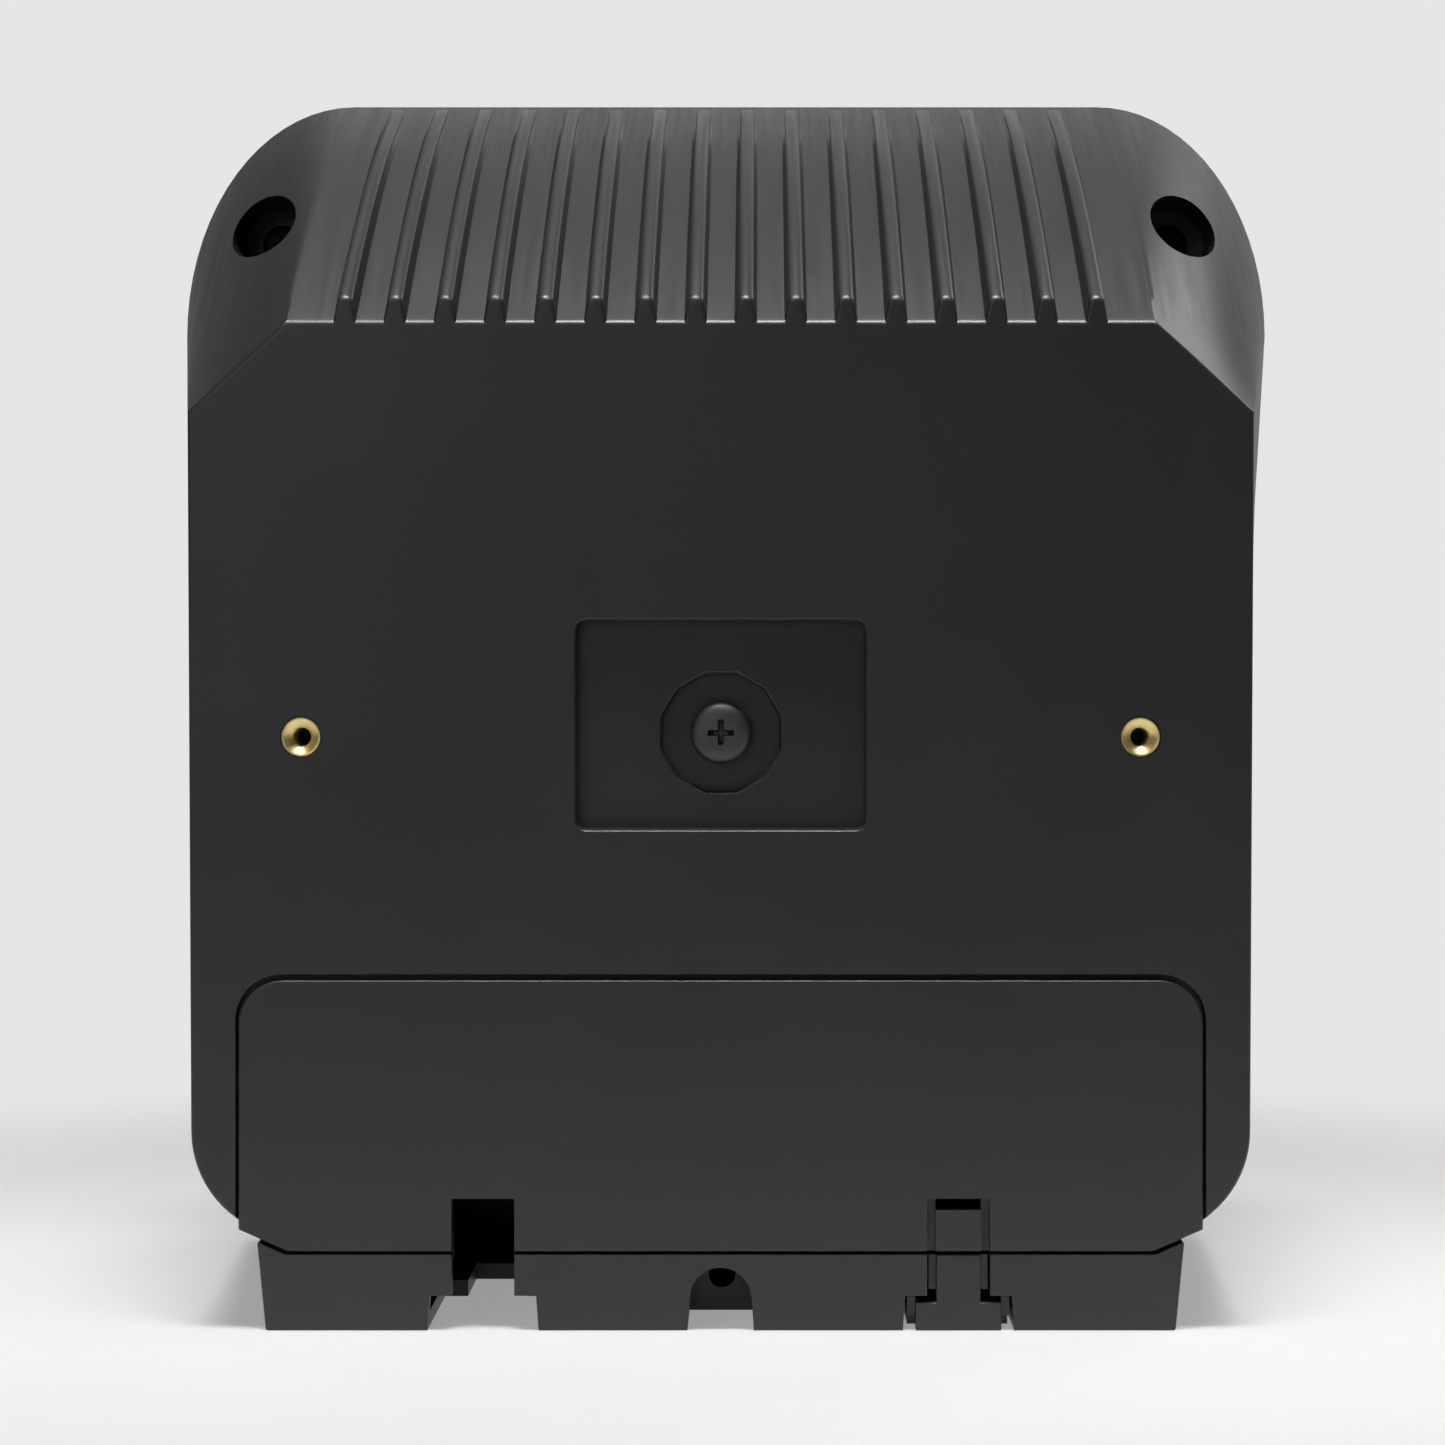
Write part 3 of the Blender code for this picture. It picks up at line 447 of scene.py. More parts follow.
def liquid_crystal():
    """A grey-green display, switched off, with a faint grid of picture cells."""
    finish = Finish("liquid_crystal", Coat_Weight=0.6)
    cells_per_metre = 1700.0
    cell_share = 0.86
    upright_line = finish.stripes("X", cells_per_metre) > cell_share
    level_line = finish.stripes("Z", cells_per_metre) > cell_share
    grid = upright_line.most(level_line)
    cloud = finish.noise(30.0, 2.0)
    shade = finish.colours(0.45 * grid + 0.3 * cloud, (0.30, 0.36, 0.29), (0.19, 0.24, 0.19))
    finish.feed("Base Color", shade)
    finish.feed("Roughness", 0.22 + 0.1 * cloud)
    return finish.material


def smoked_pane():
    """Dark see-through window plastic with faint smears."""
    finish = Finish("smoked_pane", Base_Color=(0.02, 0.022, 0.025, 1.0), Alpha=0.36, Coat_Weight=1.0)
    smears = finish.noise(55.0, 4.0, roughness=0.6)
    finish.feed("Roughness", 0.06 + 0.12 * smears)
    return finish.material


def clear_pipe():
    """Slightly hazy clear plastic."""
    finish = Finish("clear_pipe", Transmission_Weight=0.85, IOR=1.49)
    haze = finish.noise(300.0, 2.0)
    finish.feed("Base Color", finish.colours(haze, (0.88, 0.91, 0.91), (0.74, 0.79, 0.79)))
    finish.feed("Roughness", 0.12 + 0.15 * haze)
    return finish.material


def rubber():
    """Matt black rubber with a faint grey bloom."""
    finish = Finish("seal_rubber")
    bloom = finish.noise(200.0, 4.0)
    finish.feed("Base Color", finish.colours(bloom, (0.012, 0.012, 0.012), (0.04, 0.04, 0.038)))
    finish.feed("Roughness", 0.7 + 0.2 * bloom)
    finish.bump(bloom, 0.1, 0.0002)
    return finish.material


HOUSING = moulded_plastic("satin_black_housing", (0.0165, 0.0170, 0.0185), 0.37)
PANEL = moulded_plastic("satin_black_cover", (0.0168, 0.0172, 0.0187), 0.36)
BRASS = turned_brass()
# Painted shade: a darker steel for the screws at the bottom of the deep wells, so that they sit as dark
# as the shade in the wells
PAINTED_SHADE_STEEL = metal("black_steel_painted_shade", (0.03, 0.03, 0.032), (0.02, 0.02, 0.021), 0.6)
BLACK_STEEL = metal("blackened_steel", (0.11, 0.11, 0.115), (0.08, 0.08, 0.085), 0.52)
ZINC = metal("zinc_steel", (0.62, 0.62, 0.63), (0.45, 0.45, 0.47), 0.34)
ALUMINIUM = metal("rolled_aluminium", (0.74, 0.75, 0.77), (0.6, 0.61, 0.63), 0.36, (1.0, 1.0, 0.06))
RUBBER = rubber()
BOARD = board_mask()
TERMINAL = plain_plastic("terminal_green", (0.022, 0.20, 0.085), (0.016, 0.15, 0.062), 0.42)
FERRITE = ferrite_block()
SLEEVE = plain_plastic("capacitor_sleeve", (0.022, 0.028, 0.075), (0.016, 0.02, 0.055), 0.3, 0.03)
EPOXY = plain_plastic("black_epoxy", (0.015, 0.015, 0.016), (0.024, 0.024, 0.025), 0.5, 0.15)
FUSE = plain_plastic("orange_fuse", (0.72, 0.24, 0.018), (0.6, 0.18, 0.012), 0.25, 0.02)
PANE = smoked_pane()
SCREEN = liquid_crystal()
KEY_GREY = plain_plastic("key_grey", (0.20, 0.205, 0.215), (0.165, 0.17, 0.18), 0.5)
MARK_WHITE = plain_plastic("key_mark", (0.72, 0.72, 0.70), (0.6, 0.6, 0.58), 0.45, 0.03)
CLEAR = clear_pipe()


# Modelling helpers

def place(x, d, z):
    """A point in the frame's metres, where the depth is counted from its middle."""
    return Vector((x * MM, (d - TOTAL_DEPTH / 2.0) * MM, z * MM))


def fresh():
    bpy.ops.object.select_all(action="DESELECT")


def only(obj):
    fresh()
    obj.select_set(True)
    bpy.context.view_layer.objects.active = obj
    return obj


@contextmanager
def editing(obj):
    """Edit mode on one object, with all of its mesh selected."""
    only(obj)
    bpy.ops.object.mode_set(mode="EDIT")
    bpy.ops.mesh.select_all(action="SELECT")
    yield
    bpy.ops.object.mode_set(mode="OBJECT")


def named(name):
    obj = bpy.context.object
    obj.name = name
    obj.data.name = name
    return obj


def settle(obj):
    """Writes an object's place, turn and scale into its mesh."""
    only(obj)
    bpy.ops.object.transform_apply(location=True, rotation=True, scale=True)
    return obj


def outward(obj, merge=1e-7):
    """Merges doubles and turns every face outwards."""
    with editing(obj):
        bpy.ops.mesh.remove_doubles(threshold=merge)
        bpy.ops.mesh.dissolve_degenerate(threshold=1e-7)
        bpy.ops.mesh.select_all(action="SELECT")
        bpy.ops.mesh.normals_make_consistent(inside=False)
    return obj


def block(name, x, d, z):
    """A box between two ends on each axis."""
    low = place(x[0], d[0], z[0])
    high = place(x[1], d[1], z[1])
    fresh()
    bpy.ops.mesh.primitive_cube_add(size=1.0, location=(low + high) / 2.0, scale=high - low)
    return settle(named(name))


def rod(name, x, z, d, radius, sides=32, end_radius=None):
    """A round bar along the depth, from d[0] to d[1], tapered where it has an end radius."""
    start = place(x, d[0], z)
    end = place(x, d[1], z)
    axis = end - start
    fresh()
    bpy.ops.mesh.primitive_cone_add(
        vertices=sides,
        radius1=radius * MM,
        radius2=(radius if end_radius is None else end_radius) * MM,
        depth=axis.length,
        location=(start + end) / 2.0,
        rotation=Vector((0.0, 0.0, 1.0)).rotation_difference(axis).to_euler(),
    )
    return settle(named(name))


def ring(name, points, fill="NOTHING"):
    """A closed ring through a row of points, open or filled."""
    fresh()
    bpy.ops.mesh.primitive_circle_add(vertices=len(points), fill_type=fill)
    loop = named(name)
    for vertex, point in zip(loop.data.vertices, points):
        vertex.co = point
    return loop


def extruded(face, by):
    with editing(face):
        bpy.ops.mesh.extrude_region_move(TRANSFORM_OT_translate={"value": by})
    return outward(face)


def slab(name, outline, d):
    """An outline in x and z, extruded from d[0] to d[1]."""
    face = ring(name, [place(x, d[0], z) for x, z in outline], "NGON")
    return extruded(face, (0.0, (d[1] - d[0]) * MM, 0.0))


def bar(name, profile, x):
    """A profile in d and z, extruded from x[0] to x[1]."""
    face = ring(name, [place(x[0], d, z) for d, z in profile], "NGON")
    return extruded(face, ((x[1] - x[0]) * MM, 0.0, 0.0))


def joined(name, pieces):
    only(pieces[0])
    for piece in pieces[1:]:
        piece.select_set(True)
    if len(pieces) > 1:
        bpy.ops.object.join()
    return named(name)


def loft(name, rows):
    """Bridges a row of rings, each an outline and its depth, and closes both ends."""
    loops = [ring(name, [place(x, d, z) for x, z in outline]) for outline, d in rows]
    body = joined(name, loops)
    with editing(body):
        bpy.ops.mesh.bridge_edge_loops()
        bpy.ops.mesh.select_all(action="SELECT")
        bpy.ops.mesh.fill_holes(sides=0)
    return outward(body)


def turned(name, profile, x, z, steps=48):
    """Spins a profile of radius and depth about an axis that runs along the depth."""
    piece = ring(name, [place(x + radius, d, z) for radius, d in profile])
    with editing(piece):
        centre = place(x, 0.0, z)
        bpy.ops.mesh.spin(steps=steps, angle=2.0 * math.pi, center=centre, axis=(0.0, 1.0, 0.0))
    return outward(piece, 2e-6)


def apply(obj, modifier):
    only(obj)
    bpy.ops.object.modifier_apply(modifier=modifier.name)
    return obj


def shape_with(target, tool, operation):
    change = target.modifiers.new("shape", "BOOLEAN")
    change.operation = operation
    change.solver = "EXACT"
    change.object = tool
    apply(target, change)
    bpy.data.objects.remove(tool, do_unlink=True)
    return target


def carve(target, *tools):
    return shape_with(target, joined("carving", tools), "DIFFERENCE")


def build_on(target, *tools):
    return shape_with(target, joined("building", tools), "UNION")


def eased(obj, width, segments=2, angle=60.0):
    """Rounds the edges that are sharper than an angle."""
    bevel = obj.modifiers.new("eased", "BEVEL")
    bevel.width = width * MM
    bevel.segments = segments
    bevel.limit_method = "ANGLE"
    bevel.angle_limit = math.radians(angle)
    bevel.harden_normals = False
    return apply(obj, bevel)


def dress(obj, material, body, nodes=(), smooth=30.0):
    """Shades a finished piece, gives it its material and sets it on its body."""
    only(obj)
    bpy.ops.object.shade_smooth_by_angle(angle=math.radians(smooth))
    weights = obj.modifiers.new("even_shading", "WEIGHTED_NORMAL")
    weights.keep_sharp = True
    apply(obj, weights)
    obj.data.materials.clear()
    obj.data.materials.append(material)
    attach(obj, body)
    if nodes:
        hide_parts(*nodes)
    return obj


def copied(obj, name, across):
    """A copy with its own mesh, moved sideways within that mesh."""
    copy = obj.copy()
    copy.data = obj.data.copy()
    copy.name = name
    copy.data.name = name
    copy.data.transform(Matrix.Translation((across * MM, 0.0, 0.0)))
    bpy.context.scene.collection.objects.link(copy)
    return copy


# Outlines

def arc(centre, radii, start, end, steps):
    points = []
    for step in range(steps + 1):
        angle = math.radians(start + (end - start) * step / steps)
        points.append((centre[0] + radii[0] * math.cos(angle), centre[1] + radii[1] * math.sin(angle)))
    return points


def line(first, last, steps):
    """The points between two ends, without the ends."""
    share = [step / steps for step in range(1, steps)]
    return [(first[0] + (last[0] - first[0]) * s, first[1] + (last[1] - first[1]) * s) for s in share]


def mirrored(points):
    return [(-x, z) for x, z in reversed(points)]


def both_sides(right):
    """Closes the right half of an outline with its mirror image."""
    return right + mirrored(right)


def shifted(points, across, up=0.0):
    return [(x + across, z + up) for x, z in points]


def about(x, half):
    return (x - half, x + half)


def rounded_rectangle(half, low, high, radius, steps=8):
    right = arc((half - radius, high - radius), (radius, radius), 90.0, 0.0, steps)
    right += arc((half - radius, low + radius), (radius, radius), 0.0, -90.0, steps)
    return both_sides(right)


def grown_rectangle(half, low, high, radius, grow):
    """A rounded rectangle moved outwards all round."""
    return rounded_rectangle(half + grow, low - grow, high + grow, radius + grow)


# Housing form

def right_side(shoulder, foot):
    """Joins a shoulder and a foot corner with points along the side between them."""
    return shoulder + line(shoulder[-1], foot[0], SIDE_STEPS) + foot


def back_outline(inset, steps):
    """The flat back: cut shoulders and round foot corners."""
    half = BACK_LOW_HALF - inset
    radius = BACK_FOOT_RADIUS - inset
    start = (BACK_TOP_HALF - 0.4 * inset, BACK_TOP - inset)
    end = (BACK_HALF - inset, BACK_SHOULDER - 0.4 * inset)
    shoulder = [start] + line(start, end, steps) + [end]
    foot = arc((half - radius, BACK_FOOT + BACK_FOOT_RADIUS), (radius, radius), 0.0, -90.0, steps)
    return both_sides(right_side(shoulder, foot))


def rim_outline(inset, steps):
    """The rim at the front of the shell: round shoulders and round foot corners."""
    half = RIM_LOW_HALF - inset
    radius = RIM_FOOT_RADIUS - inset
    radii = (RIM_HALF - RIM_TOP_HALF - inset, RIM_TOP - RIM_SHOULDER - inset)
    shoulder = arc((RIM_TOP_HALF, RIM_SHOULDER), radii, 90.0, 0.0, steps)
    foot = arc((half - radius, RIM_FOOT + RIM_FOOT_RADIUS), (radius, radius), 0.0, -90.0, steps)
    return both_sides(right_side(shoulder, foot))


def swell(share):
    return share + BULGE * share * (1.0 - share)


def housing_outline(share, inset, steps=FINE_STEPS):
    """The outline at a share of the depth: straight at the sides, bulging on the slope."""
    rise = swell(share)
    pairs = zip(back_outline(inset, steps), rim_outline(inset, steps))
    return [(a[0] + (b[0] - a[0]) * share, a[1] + (b[1] - a[1]) * rise) for a, b in pairs]


def housing_form(name, first, last, inset, steps, rings, easing=()):
    """The housing between two depths; easing lists the small insets that round its back edge."""
    rows = [(first + d, inset + extra) for d, extra in easing]
    past_easing = 0.6
    begin = first + (easing[-1][0] + past_easing if easing else 0.0)
    rows += [(begin + (last - begin) * step / rings, inset) for step in range(rings + 1)]
    return loft(name, [(housing_outline(d / REAR_DEPTH, i, steps), d) for d, i in rows])


def slope_height(share):
    return BACK_TOP + (RIM_TOP - BACK_TOP) * swell(share)


# Rear shell

def skirt_form():
    """The block under the back that the cables leave through, its root narrowed inside the housing."""
    root_half = SKIRT_HALF_TOP - 4.0
    right = [(SKIRT_HALF_FOOT, 0.0), (SKIRT_HALF_TOP, SKIRT_SHOULDER), (root_half, SKIRT_ROOT)]
    return eased(slab("skirt", both_sides(right), (0.02, REAR_DEPTH)), 0.3, 2, 50.0)


def shell_hollow():
    """The inside of the case, with the ledge round the wiring cover left standing."""
    hollow = housing_form("hollow", WALL, REAR_DEPTH + PAST, WALL, COARSE_STEPS, 8)
    carve(hollow, block("ledge", (-WIDE, WIDE), (-5.0, LEDGE_BACK), (-10.0, COVER_TOP + LEDGE + 1.5)))
    return hollow


def skirt_hollow():
    """The inside of the skirt, stepped round the ledge and open to the case above."""
    floor = WALL + 0.05
    ceiling = 40.0
    front = REAR_DEPTH + 2.0 * PAST
    behind_ledge = LEDGE_BACK + 0.05
    under_seat = SKIRT_TOP - 1.2
    profile = [(WALL, floor), (front, floor), (front, ceiling)]
    profile += [(behind_ledge, ceiling), (behind_ledge, under_seat), (WALL, under_seat)]
    return bar("skirt_hollow", profile, (-SKIRT_INSIDE, SKIRT_INSIDE))


def inner_forms():
    """Bosses, posts, well tubes, recess cup and arch block, moulded with the shell."""
    boss = (INNER_ROOT, INSERT_BOSS_END)
    post = (INNER_ROOT, BOARD_D - BOARD_GAP)
    lid_boss = (REAR_DEPTH - LID_BOSS_LENGTH, REAR_DEPTH - 0.02)
    forms = []
    for side in SIDES:
        forms.append(rod("boss", INSERT_X * side, INSERT_Z, boss, INSERT_BOSS_RADIUS))
        forms += [rod("post", POST_X * side, z, post, POST_RADIUS) for z in POST_ZS]
    forms += [rod("lid_boss", x, z, lid_boss, CASE_BOSS_RADIUS) for x, z in LID_SPOTS]
    cup = rounded_rectangle(RECESS_HALF + WALL, RECESS_LOW - WALL, RECESS_HIGH + WALL, RECESS_RADIUS)
    forms.append(slab("recess_cup", cup, (INNER_ROOT, POCKET_BACK)))
    arch_block = (INNER_ROOT, ARCH_DEPTH + 2.0)
    forms.append(block("arch_block", about(0.0, ARCH_BLOCK_HALF), arch_block, (0.3, SKIRT_TOP)))
    depth = (WELL_BEGIN, REAR_DEPTH - 0.5)
    tubes = [rod("tube", x, z, depth, WELL_RADIUS + WELL_WALL) for x, z in CASE_SPOTS]
    limit = housing_form("limit", 1.0, REAR_DEPTH + PAST, 1.1, COARSE_STEPS, 8)
    forms.append(shape_with(joined("tubes", tubes), limit, "INTERSECT"))
    return forms


def arch_outline():
    """A round-headed opening that widens a little towards the foot."""
    spring = ARCH_TOP - ARCH_RADIUS
    top = arc((0.0, spring), (ARCH_RADIUS, ARCH_RADIUS), 0.0, 180.0, 24)
    spread = ARCH_RADIUS + FOOT_DRAFT * (spring + PAST)
    return [(spread, -PAST), *top, (-spread, -PAST)]


def wing_opening(x):
    """The wide foot of an outlet, drafted so that it opens downwards."""
    spread = WING_HALF + FOOT_DRAFT * (WING_TOP + PAST)
    right = [(WING_HALF, WING_TOP), (spread, -PAST)]
    return slab("wings", shifted(both_sides(right), x), (OUTSIDE, WING_DEPTH))


def cover_outline(grow, top_grow, steps=10):
    """The wiring cover: round above, with its two lower corners cut off."""
    half = COVER_HALF + grow
    top = COVER_TOP + top_grow
    foot = COVER_FOOT - grow
    radius = COVER_RADIUS + grow
    right = arc((half - radius, top - radius), (radius, radius), 90.0, 0.0, steps)
    right += [(half, foot + COVER_CUT_Z), (half - COVER_CUT_X, foot)]
    return both_sides(right)


def sloped_recess():
    """The rectangular recess: walls that lean open, and a rounded lip that catches the light."""
    rows = []
    for d, grow in ((OUTSIDE, 1.3), *ROUNDED_LIP, (RECESS_DEPTH, WALL_LEAN)):
        rows.append((grown_rectangle(RECESS_HALF, RECESS_LOW, RECESS_HIGH, RECESS_CORNER, grow), d))
    return loft("recess", rows)


def screw_pocket():
    """The twelve-sided pocket round the centre screw, with a rounded lip like the recess."""
    rows = []
    for d, grow in ((-0.5, 0.9), *ROUNDED_LIP, (POCKET_FLOOR - RECESS_DEPTH, WALL_LEAN)):
        reach = POCKET_RADIUS + grow
        rows.append((arc((0.0, CENTRE_Z), (reach, reach), 15.0, 345.0, 11), RECESS_DEPTH + d))
    return loft("pocket", rows)


def first_openings():
    """Recess, arch, outlet stems, insert holes, pilot holes and the two wells."""
    tools = [sloped_recess(), slab("arch", arch_outline(), (OUTSIDE, ARCH_DEPTH))]
    for side in SIDES:
        hole = (OUTSIDE, INSERT_LENGTH + PAST)
        tools.append(rod("insert_hole", INSERT_X * side, INSERT_Z, hole, INSERT_RADIUS + 0.1, 48))
        stem = about(OUTLET_X * side, OUTLET_HALF)
        tools.append(block("stem", stem, (OUTSIDE, OUTLET_DEPTH), (-PAST, OUTLET_TOP)))
        pilot = (BOARD_D - POST_PILOT_LENGTH, BOARD_D + PAST)
        tools += [rod("post_hole", POST_X * side, z, pilot, POST_PILOT, 16) for z in POST_ZS]
    pilot = (REAR_DEPTH - LID_PILOT_LENGTH, REAR_DEPTH + PAST)
    tools += [rod("lid_hole", x, z, pilot, CASE_PILOT, 16) for x, z in LID_SPOTS]
    tools += [rod("well", x, z, (WELL_BEGIN - 3.0, WELL_FLOOR), WELL_RADIUS, 64) for x, z in CASE_SPOTS]
    return tools


def second_openings():
    """What is cut through the first openings: cover seat, outlet wings, pocket and through holes."""
    seat = cover_outline(COVER_GAP, COVER_TOP_GAP)
    tools = [slab("cover_seat", seat, (OUTSIDE, COVER_THICK + 0.3))]
    tools += [wing_opening(OUTLET_X * side) for side in SIDES]
    tools.append(rod("arch_hole", 0.0, ARCH_HOLE_Z, (10.0, ARCH_DEPTH + 3.0), ARCH_HOLE_RADIUS, 24))
    tools.append(screw_pocket())
    through = (WELL_FLOOR - 2.0, REAR_DEPTH + PAST)
    tools += [rod("well_pass", x, z, through, CASE_PASS, 16) for x, z in CASE_SPOTS]
    return tools


def rear_shell():
    """The deep half of the case, from its outer form inwards."""
    easing = ((0.0, 0.5), (0.1, 0.21), (0.3, 0.05), (0.55, 0.0))
    shell = housing_form("rear_shell_skin", 0.0, REAR_DEPTH, 0.0, FINE_STEPS, 26, easing)
    build_on(shell, skirt_form())
    carve(shell, shell_hollow())
    carve(shell, skirt_hollow())
    build_on(shell, *inner_forms())
    carve(shell, *first_openings())
    carve(shell, *second_openings())
    behind_seat = 9.0
    opening = slab("cover_opening", cover_outline(-LEDGE, -LEDGE), (1.0, behind_seat))
    carve(shell, opening, rod("screw_hole", 0.0, CENTRE_Z, (RECESS_DEPTH, behind_seat), CENTRE_HOLE))
    return dress(shell, HOUSING, "housing", ("rear_shell",), 28.0)


def fin_section(height, narrow):
    """Round crest on drafted sides that flare a little where they meet the slope."""
    root = FIN_ROOT_HALF - narrow
    crest = FIN_CREST_HALF - narrow
    round_up = min(FIN_CREST_ROUND, max(height, 0.05))
    flare = FIN_FLARE * min(1.0, max(height, 0.0) / 2.0)
    left = [(-root - flare - 0.1, FIN_ROOT), (-root - flare, -0.05), (-root - 0.3 * flare, 0.35 * flare)]
    left += arc((0.0, height - round_up), (crest, round_up), 180.0, 90.0, 12)
    right = mirrored(left[:-1])
    return left + right


def slope_fins():
    """One raised fin, rounded at the back end and fading into the slope, copied across."""
    rounded_end = [(0.02, 0.62, 0.42), (0.08, 0.4, 0.28), (0.2, 0.19, 0.14), (0.4, 0.06, 0.04)]
    begin = 0.7
    length = FIN_END * REAR_DEPTH
    run = [(begin + (length - begin) * step / FIN_STEPS, 0.0, 0.0) for step in range(FIN_STEPS + 1)]
    rows = []
    for d, drop, narrow in rounded_end + run:
        along = d / length
        rise = FIN_HEIGHT * (1.0 - along) ** FIN_FADE - 0.1 * along - drop
        rows.append((shifted(fin_section(rise, narrow), 0.0, slope_height(d / REAR_DEPTH)), d))
    first = loft("slope_fins", rows)
    copies = [copied(first, "fin", index * FIN_PITCH) for index in range(1, FIN_COUNT)]
    fins = joined("slope_fins", [first] + copies)
    middle = (FIN_COUNT - 1) / 2.0
    fins.data.transform(Matrix.Translation((-middle * FIN_PITCH * MM, 0.0, 0.0)))
    return dress(fins, HOUSING, "housing", (), 40.0)


# Wiring cover and outlet plug

def wiring_cover():
    """Flush plate with eased edges, a plug-in rim, one open notch and one scored break-out tab."""
    cover = slab("wiring_cover_skin", cover_outline(0.0, 0.0), (0.0, COVER_THICK))
    eased(cover, COVER_EDGE, 3, 75.0)
    outer = -LEDGE - RIM_GAP
    inner = outer - RIM_WALL
    rim = slab("rim", cover_outline(outer, outer), (INNER_ROOT, LEDGE_BACK))
    carve(rim, slab("rim_hollow", cover_outline(inner, inner), (1.0, LEDGE_BACK + PAST)))
    build_on(cover, rim)
    through = (OUTSIDE, 8.0)
    height = (0.0, OUTLET_TOP)
    notch = block("notch", about(-OUTLET_X, OUTLET_HALF), through, height)
    tab_gap = block("tab_gap", about(OUTLET_X, TAB_HALF), through, (OUTLET_TOP - TAB_GAP, OUTLET_TOP))
    carve(cover, notch, tab_gap)
    cuts = []
    for side in SIDES:
        edges = sorted((OUTLET_X + side * OUTLET_HALF, OUTLET_X + side * TAB_HALF))
        cuts.append(block("score", edges, (OUTSIDE, SCORE_DEPTH), height))
    cuts.append(block("relief", about(OUTLET_X, OUTLET_HALF), (COVER_THICK, through[1]), height))
    carve(cover, *cuts)
    return dress(cover, PANEL, "wiring_cover", ("wiring_cover",), 35.0)


def outlet_plug():
    """T-shaped blanking plug: raised face, thin web with a window at each inner corner, and a floor."""
    x = OUTLET_X
    gap = 0.3
    stem = OUTLET_HALF - gap
    wing = WING_HALF - gap
    shoulder = WING_TOP - gap
    top = SKIRT_TOP - 0.05
    web = (1.2, 2.6)
    through_web = (1.0, 3.0)
    web_foot = 2.1
    raised = (0.0, 2.0)
    face_stem = stem - 1.1
    face_wing = wing - 1.25
    face_top = shoulder - 0.75
    tee = [(stem, top - 0.1), (stem, shoulder), (wing, shoulder), (wing, web_foot)]
    face = [(face_stem, top), (face_stem, face_top), (face_wing, face_top), (face_wing, 0.0)]
    plug = slab("outlet_plug_skin", shifted(both_sides(tee), x), web)
    windows = []
    for side in SIDES:
        across = sorted((x + side * face_stem, x + side * face_wing))
        windows.append(block("web_window", across, through_web, (face_top, shoulder + 1.1)))
    carve(plug, *windows)
    build_on(plug, eased(slab("face", shifted(both_sides(face), x), raised), 0.25, 2))
    end_gap = 0.4
    build_on(plug, block("floor", about(x, stem - 0.1), (1.8, OUTLET_DEPTH - end_gap), (0.15, 2.2)))
    build_on(plug, block("wings", about(x, wing - 0.1), (4.0, WING_DEPTH - end_gap), (0.3, 2.05)))
    return dress(plug, PANEL, "outlet_plug", ("outlet_plug",), 35.0)


# Inserts and screws

def brass_inserts():
    """Press-in inserts with a bright rim, a countersunk mouth and an internal thread."""
    outer = INSERT_RADIUS
    root = INSERT_BORE + 0.1
    crest = INSERT_BORE - 0.25
    pitch = 0.7
    turns = 10
    mouth = 1.15
    thread_start = mouth + pitch / 2.0
    profile = [(outer - 0.42, 0.09), (outer - 0.32, 0.05), (outer - 0.12, 0.05), (outer, 0.17)]
    profile += [(outer, INSERT_LENGTH), (INSERT_BORE + 0.2, INSERT_LENGTH)]
    for turn in range(turns, -1, -1):
        d = thread_start + turn * pitch
        profile += [(root, d), (crest, d - pitch / 2.0)]
    left = turned("mounting_insert_left_skin", profile, -INSERT_X, INSERT_Z, 64)
    right = copied(left, "mounting_insert_right_skin", 2.0 * INSERT_X)
    dress(left, BRASS, "housing", ("mounting_insert_left",), 25.0)
    dress(right, BRASS, "housing", ("mounting_insert_right",), 25.0)


def cross_recess(x, z, top, toward, reach, depth):
    """A tapered cross that is cut into a screw head."""
    thin = reach * 0.22
    arms = []
    for wide, tall in ((reach, thin), (thin, reach)):
        shape = [(wide, tall), (wide, -tall), (-wide, -tall), (-wide, tall)]
        small = [(a * 0.55, b * 0.7) for a, b in shape]
        rows = [
            (shifted(shape, x, z), top - toward * 0.3),
            (shifted(shape, x, z), top),
            (shifted(small, x, z), top + toward * depth),
        ]
        arms.append(loft("cross_arm", rows))
    return arms


def crowned_head(radius, height, top, toward, steps=10):
    """The profile of a pan head, from its middle to its side."""
    profile = [(0.0, top)]
    for step in range(1, steps + 1):
        angle = math.radians(90.0 * step / steps)
        crown = 1.0 - math.cos(angle) ** 0.6
        profile.append((radius * math.sin(angle) ** 0.6, top + toward * height * 0.75 * crown))
    return profile


def pan_screw(node, spot, seat, tip, head, shank, material):
    """Pan-head screw with a crowned head, a cross recess and a threaded shank."""
    x, z = spot
    radius, height = head
    toward = 1.0 if tip > seat else -1.0
    top = seat - toward * height
    profile = crowned_head(radius, height, top, toward)
    profile += [(radius, seat - toward * 0.1), (radius - 0.1, seat), (shank, seat)]
    pitch = shank * 0.45
    turns = int((abs(tip - seat) - 1.2) / pitch)
    for turn in range(turns):
        d = seat + toward * (0.6 + turn * pitch)
        profile += [(shank, d), (shank * 0.8, d + toward * pitch * 0.5)]
    profile += [(shank * 0.7, tip), (0.0, tip)]
    screw = turned(node + "_skin", profile, x, z, 40)
    for arm in cross_recess(x, z, top, toward, radius * 0.44, height * 0.5):
        carve(screw, arm)
    return dress(screw, material, "housing", (node,), 35.0)


